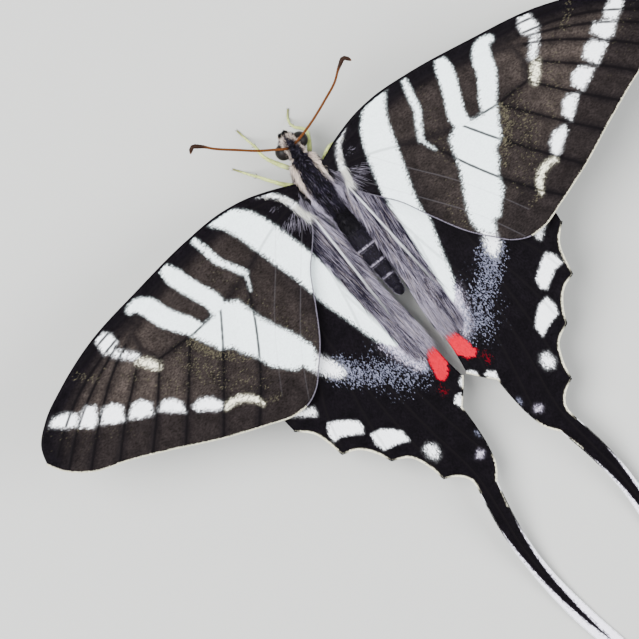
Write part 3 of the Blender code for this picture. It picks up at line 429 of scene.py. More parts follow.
def mixed(first, second, share):
    """Colours first + share (second - first), with a share for each place."""
    return first + share[:, None] * (second - first)


def laid(side, x, y, z):
    """Places or ways on one side of the body, from those on the right side."""
    return np.stack([side * x, y, z], axis=1)


def upward(count):
    """As many upright directions as there are tufts."""
    return np.tile(UP, (count, 1))


def smooth_path(points, spacing):
    """Cubic spans p(t) = h0 p0 + h1 p1 + L (g0 m0 + g1 m1) with mean directions m at the points."""
    spots = np.array(points, dtype=float)
    step = np.linalg.norm(np.diff(spots, axis=0), axis=1)[:, None]
    slope = np.diff(spots, axis=0) / step
    tangent = np.empty_like(spots)
    tangent[1:-1] = (slope[:-1] * step[1:] + slope[1:] * step[:-1]) / (step[:-1] + step[1:])
    few = len(spots) == 2
    tangent[0] = slope[0] if few else 1.5 * slope[0] - 0.5 * tangent[1]
    tangent[-1] = slope[-1] if few else 1.5 * slope[-1] - 0.5 * tangent[-2]
    line = [spots[:1]]
    for span, size in enumerate(step[:, 0]):
        t = np.linspace(0, 1, max(1, round(size / spacing)) + 1)[1:, None]
        line.append((1 + 2 * t) * (1 - t) ** 2 * spots[span] + t * t * (3 - 2 * t) * spots[span + 1]
                    + size * (t * (1 - t) ** 2 * tangent[span]
                              - t * t * (1 - t) * tangent[span + 1]))
    return np.vstack(line)


def follow(runs, spacing=0.05):
    """One line through runs of points that meet at corners."""
    return np.vstack([smooth_path(run, spacing) for run in runs])


def distance_to(line, spots):
    """Distance of each spot from a line of straight runs: the least over all the runs."""
    best = np.full(len(spots), np.inf)
    for start, end in zip(line, line[1:]):
        run = end - start
        share = np.clip((spots - start) @ run / max(run @ run, 1e-12), 0.0, 1.0)
        away = spots - start - share[:, None] * run
        best = np.minimum(best, np.einsum("ij,ij->i", away, away))
    return np.sqrt(best)


def inside(ring, spots):
    """Which spots a closed ring holds, by counting its edges to the right of each."""
    crossings = np.zeros(len(spots), dtype=int)
    for start, end in zip(ring, np.roll(ring, -1, axis=0)):
        if start[1] == end[1]:
            continue
        spans = (start[1] > spots[:, 1]) != (end[1] > spots[:, 1])
        meets = start[0] + (spots[:, 1] - start[1]) * (end[0] - start[0]) / (end[1] - start[1])
        crossings += spans & (spots[:, 0] < meets)
    return crossings % 2 == 1


def ribbon_depth(points, spots):
    """How deep a spot lies in a ribbon: the most of half width minus distance, over its runs."""
    best = np.full(len(spots), -np.inf)
    knots = smooth_path(points, 0.6)
    for start, end in zip(knots, knots[1:]):
        run = end[:2] - start[:2]
        share = np.clip((spots - start[:2]) @ run / (run @ run), 0.0, 1.0)
        away = np.linalg.norm(spots - start[:2] - share[:, None] * run, axis=1)
        best = np.maximum(best, (start[2] + share * (end[2] - start[2])) / 2 - away)
    return best


def patch_depth(points, spots):
    """How deep a spot lies in a patch: the distance to its edge, negative outside."""
    ring = np.array((*points, points[0]))
    away = distance_to(ring, spots)
    return np.where(inside(ring[:-1], spots), away, -away)


def dust_level(trails, spots):
    """Share of pale scales at each spot: the most of share times a hill, over trails and runs."""
    best = np.zeros(len(spots))
    for reach, knots in trails:
        for start, end in zip(np.array(knots[:-1]), np.array(knots[1:])):
            run = end - start
            share = np.clip((spots - start[:2]) @ run[:2] / (run[:2] @ run[:2]), 0.0, 1.0)
            away = np.linalg.norm(spots - start[:2] - share[:, None] * run[:2], axis=1)
            best = np.maximum(best, (start[2] + share * run[2]) * bump(away / reach))
    return best


def near(points, spots):
    """Mask of the spots in the box of some points, grown by the reach of a mark."""
    corners = np.array(points)[:, :2]
    low = corners.min(axis=0) - MARK_REACH
    high = corners.max(axis=0) + MARK_REACH
    return np.all((spots > low) & (spots < high), axis=1)


def body_x(y):
    """x of the body's midline: it leaves the middle by HEAD_TURN towards the head."""
    return BODY_X + HEAD_TURN * ease((y - TURN_START) / (TURN_END - TURN_START))


SHIFT = np.array((
    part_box("eye_left")[1].x / MM - (body_x(HEAD_CENTRE_Y) - EYE_INNER),
    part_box("thorax")[1].y / MM - THORAX_FRONT,
    0.0,
))


def place(spots):
    """From the butterfly's own millimetres to the scene's metres."""
    return (np.asarray(spots, dtype=float) + SHIFT) * MM


def wing_surface(x, y):
    """z = root + rise x - curve x^2 + slope y: the surface between the two wings of a side."""
    out = x - WING_ROOT_X
    return (WING_ROOT_HEIGHT + WING_RISE * out - WING_CURVE * out * out
            + WING_REAR_SLOPE * (y - TURN_START))


def forewing_height(x, y):
    """The forewing lies WING_LIFT above the shared surface."""
    return wing_surface(x, y) + WING_LIFT


def hindwing_height(x, y):
    """Below the shared surface, with a droop that grows to the rear and a tail on the floor."""
    back = np.maximum(REAR_DROOP_START - y, 0.0)
    bend = np.minimum(back, REAR_DROOP_BEND)
    hung = wing_surface(x, y) - WING_LIFT - REAR_DROOP * bend * (2 * back - bend)
    share = ease((y - TAIL_DROP_START) / (TAIL_DROP_END - TAIL_DROP_START))
    return hung * (1 - share) + TAIL_FLOOR * share


def sweep(spots, angle):
    """Turn a wing in plan about its root, by the full angle from a little way out."""
    turn = angle * ease((spots[:, 0] - 2.6) / 4.0)
    x, y = (spots - SWEEP_PIVOT).T
    return np.stack([x * np.cos(turn) - y * np.sin(turn),
                     x * np.sin(turn) + y * np.cos(turn)], axis=1) + SWEEP_PIVOT


# Meshes


def build_mesh(name, spots, *face_sets):
    """A mesh from point places in the scene and arrays of faces, one array for each face size."""
    mesh = bpy.data.meshes.new(name)
    mesh.vertices.add(len(spots))
    mesh.vertices.foreach_set("co", np.ascontiguousarray(spots, dtype=np.float32).ravel())
    sizes = np.concatenate([np.full(len(faces), faces.shape[1]) for faces in face_sets])
    corners = np.concatenate([faces.ravel() for faces in face_sets])
    mesh.loops.add(len(corners))
    mesh.loops.foreach_set("vertex_index", corners.astype(np.int32))
    mesh.polygons.add(len(sizes))
    mesh.polygons.foreach_set("loop_start", (np.cumsum(sizes) - sizes).astype(np.int32))
    mesh.update(calc_edges=True)
    mesh.validate()
    return mesh


def turned_out(spots, quads, tris):
    """The faces, turned over together if they enclose a negative volume."""
    corners = np.vstack([quads[:, [0, 1, 2]], quads[:, [0, 2, 3]], tris])
    a, b, c = (spots[corners[:, k]] - spots.mean(axis=0) for k in range(3))
    if np.einsum("ij,ij->i", a, np.cross(b, c)).sum() < 0:
        return quads[:, ::-1], tris[:, ::-1]
    return quads, tris


def ring_surface(rings):
    """Points and faces of a closed surface over rings[i, j], with a pole at each end.

    Quad (i, j) joins ring i to ring i + 1 between places j and j + 1, which wraps round, and a
    fan joins the first and the last ring to the middle of each.
    """
    rows, around = rings.shape[:2]
    spots = np.vstack([rings.reshape(-1, 3), rings[0].mean(axis=0), rings[-1].mean(axis=0)])
    i, j = np.meshgrid(np.arange(rows - 1), np.arange(around), indexing="ij")
    ahead = (j + 1) % around
    quads = np.stack([i * around + j, i * around + ahead, (i + 1) * around + ahead,
                      (i + 1) * around + j], axis=-1).reshape(-1, 4)
    j = np.arange(around)
    ahead = (j + 1) % around
    last = (rows - 1) * around
    pole = rows * around
    tris = np.vstack([np.stack([ahead, j, np.full(around, pole)], axis=1),
                      np.stack([last + j, last + ahead, np.full(around, pole + 1)], axis=1)])
    return (spots, *turned_out(spots, quads, tris))


def ways_along(line, across):
    """Direction of a line at its points, and two directions square to it."""
    way = unit(np.gradient(line, axis=0))
    u = unit(np.cross(way, across))
    return way, u, np.cross(way, u)


def tube_rings(line, radii, sides, across):
    """Rings p + r (cos a u + sin a v) along a line; u is square to the line and to `across`."""
    line = np.asarray(line, dtype=float)
    u, v = (part[:, None, :] for part in ways_along(line, across)[1:])
    angle = np.linspace(0, tau, sides, endpoint=False)[None, :, None]
    radii = np.asarray(radii)[:, None, None]
    return line[:, None, :] + radii * (np.cos(angle) * u + np.sin(angle) * v)


def along(line):
    """Length from the start of a line to each of its points."""
    return np.r_[0.0, np.linalg.norm(np.diff(line, axis=0), axis=1).cumsum()]


def spread(values, line, points):
    """A value for each point of a smooth line, from the values at the points it passes."""
    lengths = along(line)
    knots = [lengths[np.linalg.norm(line - np.array(spot), axis=1).argmin()] for spot in points]
    return np.interp(lengths, knots, values)


def with_poles(values):
    """Values of a surface's ring points, and those of its two poles."""
    return np.vstack([values, values[:1], values[-1:]])


def set_attribute(mesh, name, values):
    """A number or a colour for each point of a mesh."""
    values = np.asarray(values, dtype=np.float32)
    if values.ndim == 1:
        mesh.attributes.new(name, "FLOAT", "POINT").data.foreach_set("value", values)
    else:
        full = np.hstack([values, np.ones((len(values), 1), dtype=np.float32)])
        mesh.attributes.new(name, "FLOAT_COLOR", "POINT").data.foreach_set("color", full.ravel())


def add_piece(name, mesh, material, replaced=(), attributes=None):
    """Put a finished mesh in the scene, riding on the butterfly's one body."""
    piece = bpy.data.objects.new(name, mesh)
    bpy.context.scene.collection.objects.link(piece)
    mesh.materials.append(material)
    mesh.shade_smooth()
    for key, values in (attributes or {}).items():
        set_attribute(mesh, key, values)
    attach(piece, "root")
    if replaced:
        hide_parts(*replaced)
    return piece


def solid_piece(name, rings, material, replaced, tones=None):
    """A closed piece over rings, with a colour for each ring or for each of their points."""
    spots, quads, tris = ring_surface(rings)
    mesh = build_mesh(name, place(spots), quads, tris)
    attributes = {}
    if tones is not None:
        if len(tones) == len(rings):
            tones = np.repeat(tones, rings.shape[1], axis=0)
        attributes["tone"] = with_poles(tones)
    return add_piece(name, mesh, material, replaced, attributes)


def add_tufts(name, roots, ways, rises, size, width, bend, bake, tones, material,
              root_shade=0.55):
    """Many tufts of hair as one mesh of thin closed blades with three sides.

    A tuft's middle line is root + L (t way + bend t^2 rise), and its section shrinks as
    1 - t^2 to a tip. Sections stand at t = 0, 0.35 and 0.7. Its colour is darker at the root by
    a factor. Each tuft's bake map is a small patch at its root's place on the unwrapped skin.
    """
    count = len(roots)
    stations = np.array([0.0, 0.35, 0.7])
    size, width, bend = (np.broadcast_to(part, count)[:, None, None]
                         for part in (size, width, bend))
    ways = unit(ways)
    across = unit(np.cross(ways, rises))
    rises = np.cross(across, ways)
    t = np.r_[stations, 1.0][None, :, None]
    middle = roots[:, None, :] + size * (t * ways[:, None, :] + (bend * t * t) * rises[:, None, :])
    half = 0.5 * width * (1.0 - stations[None, :, None] ** 2)
    body = middle[:, :3, :]
    left = body - half * across[:, None, :]
    right = body + half * across[:, None, :]
    crest = body + 0.7 * half * rises[:, None, :]
    spots = np.concatenate([left, right, crest, middle[:, 3:, :]], axis=1)
    first = (np.arange(count) * 10)[:, None, None]
    quads = [[low + step, high + step, high + step + 1, low + step + 1]
             for step in (0, 1) for low, high in ((0, 3), (3, 6), (6, 0))]
    tris = [[2, 5, 9], [5, 8, 9], [8, 2, 9], [3, 0, 6]]
    mesh = build_mesh(name, place(spots.reshape(-1, 3)), (np.array(quads) + first).reshape(-1, 4),
                      (np.array(tris) + first).reshape(-1, 3))
    patch = 0.003 * np.stack([np.r_[np.repeat([-0.5, 0.5, 0.0], 3), 0.0],
                              np.r_[np.tile([-0.5, -0.1, 0.3], 3), 0.5]], axis=1)
    flat = (bake[:, None, :] + patch[None]).reshape(-1, 2)
    corners = np.empty(len(mesh.loops), dtype=np.int32)
    mesh.loops.foreach_get("vertex_index", corners)
    layer = mesh.uv_layers.new(name="OFBake")
    layer.uv.foreach_set("vector", flat[corners].astype(np.float32).ravel())
    shade = np.r_[np.tile([root_shade, 0.85, 1.0], 3), 1.0]
    tones = (tones[:, None, :] * shade[None, :, None]).reshape(-1, 3)
    return add_piece(name, mesh, material, (), {"tone": tones})


# Materials


def add_node(tree, kind, inputs=None, **settings):
    """A shader node whose inputs are linked to sockets or set to values."""
    node = tree.nodes.new(kind)
    for key, value in settings.items():
        setattr(node, key, value)
    for key, value in (inputs or {}).items():
        if isinstance(value, bpy.types.NodeSocket):
            tree.links.new(value, node.inputs[key])
        else:
            node.inputs[key].default_value = value
    return node


def calc(tree, operation, *values):
    """The result of one step of arithmetic on sockets or numbers."""
    return add_node(tree, "ShaderNodeMath", dict(enumerate(values)), operation=operation).outputs[0]


def times(tree, first, second):
    return calc(tree, "MULTIPLY", first, second)


def plus(tree, first, second):
    return calc(tree, "ADD", first, second)


def wobble(tree, value, reach):
    """A value from 0 to 1 made a shift of `reach` millimetres from end to end, about zero."""
    return calc(tree, "MULTIPLY_ADD", value, reach, -0.5 * reach)


def rescale(tree, value, low, high, to_low=0.0, to_high=1.0):
    """Map low..high to to_low..to_high, held at both ends."""
    node = add_node(tree, "ShaderNodeMapRange", {0: value, 1: low, 2: high, 3: to_low, 4: to_high})
    return node.outputs[0]


def blend(tree, share, first, second):
    """A colour between two colours, each a socket or three numbers."""
    parts = (part if isinstance(part, bpy.types.NodeSocket) else (*part, 1.0)
             for part in (first, second))
    node = add_node(tree, "ShaderNodeMix", data_type="RGBA")
    for index, value in zip((0, 6, 7), (share, *parts)):
        if isinstance(value, bpy.types.NodeSocket):
            tree.links.new(value, node.inputs[index])
        else:
            node.inputs[index].default_value = value
    return node.outputs[2]


def rgb(tree, tone):
    """A colour as a socket."""
    node = tree.nodes.new("ShaderNodeRGB")
    node.outputs[0].default_value = (*tone, 1.0)
    return node.outputs[0]


def attribute(tree, name, output="Fac"):
    """A number or a colour that comes with each point."""
    return add_node(tree, "ShaderNodeAttribute", attribute_name=name).outputs[output]


def object_place(tree):
    """Place in the piece's own metres."""
    return add_node(tree, "ShaderNodeTexCoord").outputs["Object"]


def noise(tree, grain, detail=2.0, place_socket=None):
    """Noise with features about `grain` millimetres across, from 0 to 1."""
    where = place_socket or object_place(tree)
    node = add_node(tree, "ShaderNodeTexNoise", {"Vector": where, "Scale": 1.0 / (grain * MM),
                                                 "Detail": detail})
    return node.outputs["Fac"]


def squeezed(tree, stretch):
    """Object place with each direction scaled, so that grains come out long or short in it."""
    return add_node(tree, "ShaderNodeMapping", {"Vector": object_place(tree),
                                                "Scale": stretch}).outputs[0]


def cells(tree, grain, output="Distance", place_socket=None):
    """Cells about `grain` millimetres across, for scales and facets."""
    where = place_socket or object_place(tree)
    node = add_node(tree, "ShaderNodeTexVoronoi", {"Vector": where, "Scale": 1.0 / (grain * MM)})
    return node.outputs[output]


def scaled(tree, hue, share):
    """A colour made darker or lighter by a factor."""
    return add_node(tree, "ShaderNodeVectorMath", {0: hue, "Scale": share},
                    operation="SCALE").outputs[0]


def new_material(name, roughness, gloss=0.5):
    """A material with its tree and its one shader."""
    material = bpy.data.materials.new(name)
    material.use_nodes = True
    tree = material.node_tree
    shader = tree.nodes["Principled BSDF"]
    shader.inputs["Roughness"].default_value = roughness
    shader.inputs["Specular IOR Level"].default_value = gloss
    return material, tree, shader


def bumped(tree, shader, height, strength, depth):
    """Relief from a height socket, `depth` millimetres deep."""
    node = add_node(tree, "ShaderNodeBump", {"Height": height, "Strength": strength,
                                             "Distance": depth * MM})
    tree.links.new(node.outputs[0], shader.inputs["Normal"])


def wing_material(name, colours, stretch, dust_tone):
    """Scaled wing: pale marks on a dark ground, broken at their edges into single scales.

    The mark's depth in millimetres comes with each point. Noise is added to it before it is
    cut at zero, so that the edge is as ragged as the noise is high. Scales and teeth are long
    in the direction that `stretch` squeezes. A thin halo of pale scales is strewn beside the
    marks, and pale scales lie singly where the dust's share is more than a scale's own number.
    """
    material, tree, shader = new_material(name, 0.6, 0.02)
    where = squeezed(tree, stretch)
    scales = cells(tree, SCALE_WIDTH, "Color", where)
    split = add_node(tree, "ShaderNodeSeparateColor", {0: scales}).outputs
    single, other = split[0], split[1]
    teeth = noise(tree, 0.17, 2.0, where)
    wander = noise(tree, 0.5, 3.0)
    mark = attribute(tree, "mark")
    ragged = plus(tree, wobble(tree, single, 1.5 * TOOTH), wobble(tree, teeth, 2.6 * TOOTH))
    pale = rescale(tree, plus(tree, mark, ragged), -0.09, 0.13)
    black_vein = attribute(tree, "vein_mark")
    vein = plus(tree, attribute(tree, "vein"), wobble(tree, wander, 0.08))
    vein_line = rescale(tree, vein, 0.08, 0.19, 1.0, 0.0)
    vein_shade = rescale(tree, plus(tree, vein, wobble(tree, wander, 0.5)), 0.2, 0.8, 1.0, 0.0)
    vein_tone = blend(tree, black_vein, ROOT_VEIN_TONE, VEIN_TONE)
    fold_line = rescale(tree, attribute(tree, "fold"), 0.02, 0.1, 1.0, 0.0)

    grain = rescale(tree, noise(tree, 0.11, 2.0, where), 0.3, 0.7, 0.4, 1.7)
    cloud = rescale(tree, noise(tree, 1.2, 3.0), 0.3, 0.7, 0.7, 1.3)
    dark = scaled(tree, attribute(tree, "ground", "Color"), times(tree, grain, cloud))
    dark = blend(tree, times(tree, vein_shade, 0.55), dark, tuple(colours.black))
    vein_dark = calc(tree, "MULTIPLY_ADD", black_vein, 0.6, 0.3)
    dark = blend(tree, times(tree, vein_line, vein_dark), dark, vein_tone)
    dark = blend(tree, times(tree, fold_line, 0.13), dark, FOLD_TONE)

    full_light = attribute(tree, "light", "Color")
    halo = rescale(tree, plus(tree, mark, wobble(tree, wander, 0.4)), -HALO, 0.0)
    halo = times(tree, calc(tree, "POWER", halo, 3.0), HALO_SHARE)
    strewn = times(tree, halo, rescale(tree, other, 0.25, 1.0, 0.1, 2.4))
    dark = blend(tree, strewn, dark, full_light)
    light = scaled(tree, full_light, rescale(tree, other, 0.0, 1.0, 0.9, 1.05))
    light = blend(tree, times(tree, vein_line, black_vein), light, VEIN_TONE)
    light = blend(tree, times(tree, fold_line, 0.2), light, FOLD_TONE)

    level = times(tree, attribute(tree, "dust"), rescale(tree, wander, 0.3, 0.7, 0.6, 1.4))
    speck = rescale(tree, calc(tree, "SUBTRACT", level, single), 0.0, 0.05)
    speck_tone = scaled(tree, rgb(tree, dust_tone), rescale(tree, other, 0.0, 1.0, 0.5, 1.25))
    hue = blend(tree, pale, blend(tree, speck, dark, speck_tone), light)
    red_depth = attribute(tree, "red")
    red = rescale(tree, plus(tree, red_depth, ragged), -0.03, 0.06)
    red_shade = times(tree, rescale(tree, other, 0.0, 1.0, 0.8, 1.1),
                      rescale(tree, red_depth, -0.05, 0.12, 0.2, 1.0))
    hue = blend(tree, red, hue, scaled(tree, rgb(tree, colours.red), red_shade))
    tree.links.new(hue, shader.inputs["Base Color"])
    bumped(tree, shader, cells(tree, SCALE_WIDTH, "Distance", where), 0.3, 0.02)
    return material


def tone_material(name, roughness, grain=0.12, relief=0.25, gloss=0.08):
    """Hair, scales or horn whose colour comes with its points, varied by fine noise."""
    material, tree, shader = new_material(name, roughness, gloss)
    fine = noise(tree, grain, 3.0)
    tone = scaled(tree, attribute(tree, "tone", "Color"), rescale(tree, fine, 0.25, 0.75, 0.75, 1.25))
    tree.links.new(tone, shader.inputs["Base Color"])
    bumped(tree, shader, fine, relief, 0.04)
    return material


def eye_material(colours):
    """Dark compound eye: facets as small cells, with paler patches inside."""
    material, tree, shader = new_material("compound_eye", 0.4, 0.15)
    patch = rescale(tree, noise(tree, 0.7, 2.0), 0.45, 0.7, 0.8, 1.7)
    tree.links.new(scaled(tree, rgb(tree, colours.eye), patch), shader.inputs["Base Color"])
    bumped(tree, shader, cells(tree, 0.05), 0.5, 0.012)
    return material


def floor_material(stage):
    """Matt painted board with a faint grain."""
    material, tree, shader = new_material("pale_floor", 0.85)
    tint = blend(tree, rescale(tree, noise(tree, 4.0, 4.0), 0.3, 0.7, 0.0, 0.05), tuple(stage.floor),
                 tuple(0.8 * part for part in stage.floor))
    tree.links.new(tint, shader.inputs["Base Color"])
    return material


# Wings


def forewing_plan():
    """Plan points of a forewing: x = x0 + L (1 - (1 - u)^1.3), y between the rear and the front."""
    front = smooth_path(FOREWING_FRONT, 0.05)
    rear = smooth_path(FOREWING_REAR, 0.05)[::-1]
    columns = 330
    chord = 134
    start, end = front[0, 0], front[-1, 0]
    u = np.linspace(0.002, 0.998, columns)
    x = start + (end - start) * (1 - (1 - u) ** 1.3)
    top = np.interp(x, front[:, 0], front[:, 1])
    low = np.interp(x, rear[:, 0], rear[:, 1])
    v = np.linspace(0, 1, chord)
    grid_x = np.repeat(x[:, None], chord, axis=1)
    grid_y = low[:, None] + (top - low)[:, None] * v[None, :]
    return np.stack([grid_x, grid_y], axis=-1)


def tail_half(y):
    """Half width of the tail at each y."""
    width = np.array(TAIL_HALF_WIDTH)
    return np.interp(y, width[:, 1], width[:, 0])


def tail_middle(y):
    """x of the tail's middle line at each y."""
    line = smooth_path(TAIL_LINE, 0.1)[::-1]
    return np.interp(y, line[:, 1], line[:, 0])


def hindwing_edges(y):
    """Inner and outer x of a hindwing at each y."""
    outer = follow(HINDWING_OUTER)[::-1]
    inner = follow(HINDWING_INNER)[::-1]
    wing_outer = np.interp(y, outer[:, 1], outer[:, 0])
    wing_inner = np.interp(y, inner[:, 1], inner[:, 0])
    tail = y < TAIL_START
    middle = tail_middle(y)
    half = tail_half(y)
    return (np.where(tail, middle - half, wing_inner), np.where(tail, middle + half, wing_outer))


def hindwing_plan():
    """Plan points of a hindwing: rows of y, closer where the edges run across, x between them."""
    rows = 500
    across = 90
    y = np.linspace(-5.62, TAIL_TIP + 0.02, 6000)
    inner, outer = hindwing_edges(y)
    pace = np.abs(np.diff(y)) + 0.35 * np.abs(np.diff(outer)) + 0.2 * np.abs(np.diff(inner))
    measure = np.r_[0.0, pace.cumsum()]
    y = np.interp(np.linspace(0, measure[-1], rows), measure, y)
    inner, outer = hindwing_edges(y)
    u = np.linspace(0, 1, across)
    grid_x = inner[:, None] + (outer - inner)[:, None] * u[None, :]
    grid_y = np.repeat(y[:, None], across, axis=1)
    return np.stack([grid_x, grid_y], axis=-1)


def least_distance(lines, spots):
    """Distance of each spot from the nearest of several smooth lines."""
    return np.min([distance_to(smooth_path(line, 0.8), spots) for line in lines], axis=0)


def mark_layers(spots, ribbons, patches, colours):
    """Depth of the deepest mark at each spot and its colour. A raggeder mark counts for less."""
    depth = np.full(len(spots), NO_MARK)
    light = np.tile(np.array(colours.mint), (len(spots), 1))
    for measure, marks in ((ribbon_depth, ribbons), (patch_depth, patches)):
        for tint, ragged, points in marks:
            close = near(points, spots)
            here = np.full(len(spots), NO_MARK)
            here[close] = measure(points, spots[close]) / ragged
            wins = here > depth
            depth[wins] = here[wins]
            light[wins] = np.array(getattr(colours, tint))
    return depth, light


def forewing_look(plan, colours, under):
    """Marks, ground colour, veins and dust of a forewing at the plan points.

    The ground is black, browner outwards, and black again along the front and the outer margin.
    Outwards and to the rear the veins are black across the marks too.
    """
    spots = plan + (MARK_OFFSET, 0.0)
    depth, light = mark_layers(spots, RIBBONS, PATCHES, colours)
    x, y = spots.T
    outline = np.vstack([smooth_path(FOREWING_FRONT, 0.3), smooth_path(FOREWING_REAR, 0.3)])
    costa = distance_to(smooth_path(FOREWING_FRONT, 0.4), plan)
    margin = distance_to(smooth_path(FOREWING_REAR[:8], 0.5), plan)
    off_margin = ease((margin - 3.6) / 1.6)
    share = np.maximum(0.46 * ease((x - 16.0) / 12.0) * (0.3 + 0.7 * off_margin),
                       0.22 * ease((x - 6.0) / 5.0) * (0.6 + 0.4 * off_margin))
    share = share * ease((costa - 0.9) / 2.2)
    if under:
        share = 0.4 + 0.6 * share
    black_vein = np.where((y < -9.6) | (x > 26.5), 0.95 * ease((x - 11.0) / 3.0),
                          np.where((x < 12.8) & (y < -4.6), 0.35, 0.02))
    return {"mark": np.minimum(depth, (costa - 0.35) * 3), "light": light,
            "ground": mixed(*shades(colours, "black brown"), share),
            "vein": least_distance(FOREWING_VEINS, plan),
            "fold": least_distance(FOREWING_FOLDS, plan), "vein_mark": black_vein,
            "dust": dust_level(FOREWING_DUST, spots), "red": np.full(len(plan), NO_MARK),
            "rim": distance_to(outline, plan)}


def tail_marks(plan):
    """Depth of the tail's white: outside the black line, which is wider towards the base."""
    inner_half, outer_half, rows = np.array(TAIL_BLACK).T
    x, y = plan.T
    out = x - tail_middle(y)
    white = np.where(out > 0, out - np.interp(y, rows, outer_half),
                     -out - np.interp(y, rows, inner_half))
    return np.where(y < rows[-1], white, NO_MARK)


def from_teeth(spots):
    """Distance of each spot from the nearest tooth of the hindwing's margin."""
    teeth = np.array([run[-1] for run in HINDWING_OUTER])
    return np.linalg.norm(spots[:, None] - teeth[None], axis=2).min(axis=1)


def margin_marks(plan):
    """Depth of the pale line in each bay of the hindwing's margin: it thins towards the teeth."""
    edge = distance_to(follow(HINDWING_OUTER[1:], 0.3), plan)
    line = 0.08 * ease((from_teeth(plan) - 0.3) / 1.2) - edge
    return np.maximum(line, 0.1 - distance_to(np.array(LOBE_LINE), plan))


def hindwing_look(plan, colours, under):
    """Marks, ground colour, veins, dust and red spot of a hindwing at the plan points.

    The ground is black, dusky near the inner edge. Below, a red stripe runs along the dark band.
    """
    spots = plan + (MARK_OFFSET, 0.0)
    depth, light = mark_layers(spots, (), (*PATCHES[:3], *HINDWING_PATCHES), colours)
    x, y = spots.T
    inner, outer = hindwing_edges(plan[:, 1])
    for extra, tone in ((tail_marks(plan), colours.tail), (margin_marks(plan), colours.cream)):
        extra = np.where(extra < 0, LINE_FALL * extra, extra)
        wins = extra > depth
        depth[wins] = extra[wins]
        light[wins] = np.array(tone)
    red = np.maximum(patch_depth(RED_PATCH, spots), 0.35 * ribbon_depth(RED_DOT, spots) - 0.1)
    black, dusk, brown = shades(colours, "black dusk brown")
    ground = mixed(black, dusk, 0.7 * bump((x - 3.0) / 2.2) * ease((y + 27.0) / 4.0))
    if under:
        red = np.maximum(red, ribbon_depth(RED_STRIPE_BELOW, spots))
        depth = np.where(red > -0.55, np.maximum(depth, 0.25 + red * 0.2), depth)
        ground = ground + 0.35 * (brown - ground)
    return {"mark": depth, "light": light, "ground": ground,
            "vein": least_distance(HINDWING_VEINS, plan), "fold": np.full(len(plan), 3.0),
            "vein_mark": np.full(len(plan), 0.3), "dust": dust_level(HINDWING_DUST, spots),
            "red": red, "rim": np.minimum(plan[:, 0] - inner, outer - plan[:, 0])}


def wing_piece(wing, name, plan, height, look, angle, scene, material):
    """A wing as a closed sheet: each row of plan points goes over the top and back below.

    z = height - sag (1 - exp(-(d / 1.3)^2)) +- (membrane / 2 + vein exp(-(d / 0.16)^2)),
    with d the distance to the nearest vein, thinning to nothing at the rim.
    """
    sizes = scene.butterfly_sizes
    rows, across = plan.shape[:2]
    flat = plan.reshape(-1, 2)
    top, below = (look(flat, scene.butterfly_colours, under) for under in (False, True))
    edge = ease(top["rim"] / 0.3).reshape(rows, across)
    edge[:, [0, -1]] = 0.0
    veins = np.exp(-(top["vein"] / 0.16) ** 2)
    sag = sizes.sag / MM * (1 - np.exp(-(top["vein"] / 1.3) ** 2))
    half = (sizes.membrane / 2 + sizes.vein * veins.reshape(rows, across)) / MM * edge
    swept = sweep(flat, angle)
    level = height(swept[:, 0], swept[:, 1]) - sag * ease(top["rim"] / 1.5)
    level = level.reshape(rows, across)
    x, y = (dict(SIDES)[name] * swept[:, 0]).reshape(rows, across), swept[:, 1].reshape(rows, across)
    over = np.stack([x, y, level + half], axis=-1)
    back = np.stack([x, y, level - half], axis=-1)[:, -2:0:-1]
    spots, quads, tris = ring_surface(np.concatenate([over, back], axis=1))
    piece = f"{wing}_{name}_scaled"
    mesh = build_mesh(piece, place(spots), quads, tris)
    attributes = {}
    for key in ("mark", "light", "ground", "vein", "fold", "vein_mark", "dust", "red"):
        upper = top[key].reshape(rows, across, -1)
        lower = below[key].reshape(rows, across, -1)[:, -2:0:-1]
        values = with_poles(np.concatenate([upper, lower], axis=1).reshape(-1, upper.shape[-1]))
        attributes[key] = values if values.shape[1] == 3 else values[:, 0]
    return add_piece(piece, mesh, material, (f"{wing}_{name}",), attributes)


def fringe_tufts(name, line, height, side, angle, tones, material, size, seed):
    """Scales that stand out of a wing's margin, square to it and slightly fanned."""
    draw = np.random.default_rng(seed)
    lengths = along(line)
    count = int(lengths[-1] / FRINGE_SPACING)
    where = np.linspace(0, lengths[-1], count) + draw.uniform(-0.4, 0.4, count) * FRINGE_SPACING

    def spots_at(place_along):
        return np.stack([np.interp(place_along, lengths, part) for part in line.T], axis=1)

    spots = spots_at(where)
    run = unit(spots_at(where + 0.15) - spots_at(where - 0.15))
    out = np.stack([-run[:, 1], run[:, 0]], axis=1)
    roots = sweep(spots - 0.1 * out, angle)
    tips = sweep(spots + 0.3 * out + 0.1 * draw.normal(size=(count, 1)) * run, angle)
    level = height(*roots.T)
    ways = laid(side, *(tips - roots).T, height(*tips.T) - level)
    roots = laid(side, *roots.T, level + draw.uniform(-0.03, 0.03, count))
    return add_tufts(name, roots, ways, upward(count), size * draw.uniform(0.7, 1.15, count),
                     1.7 * FRINGE_SPACING, draw.uniform(-0.1, 0.1, count),
                     (spots + (2, 70)) / (45, 72), tones(spots) * draw.uniform(0.85, 1.1, (count, 1)),
                     material, 0.9)


# Body


def abdomen_radius(y):
    """The abdomen swells a little behind its front and then tapers to its tip."""
    share = (y - ABDOMEN_FRONT) / (ABDOMEN_TIP - ABDOMEN_FRONT)
    return ABDOMEN_RADIUS * (0.8 + 0.2 * ease(share / 0.25)) * (1 - 0.55 * ease((share - 0.35) / 0.75))


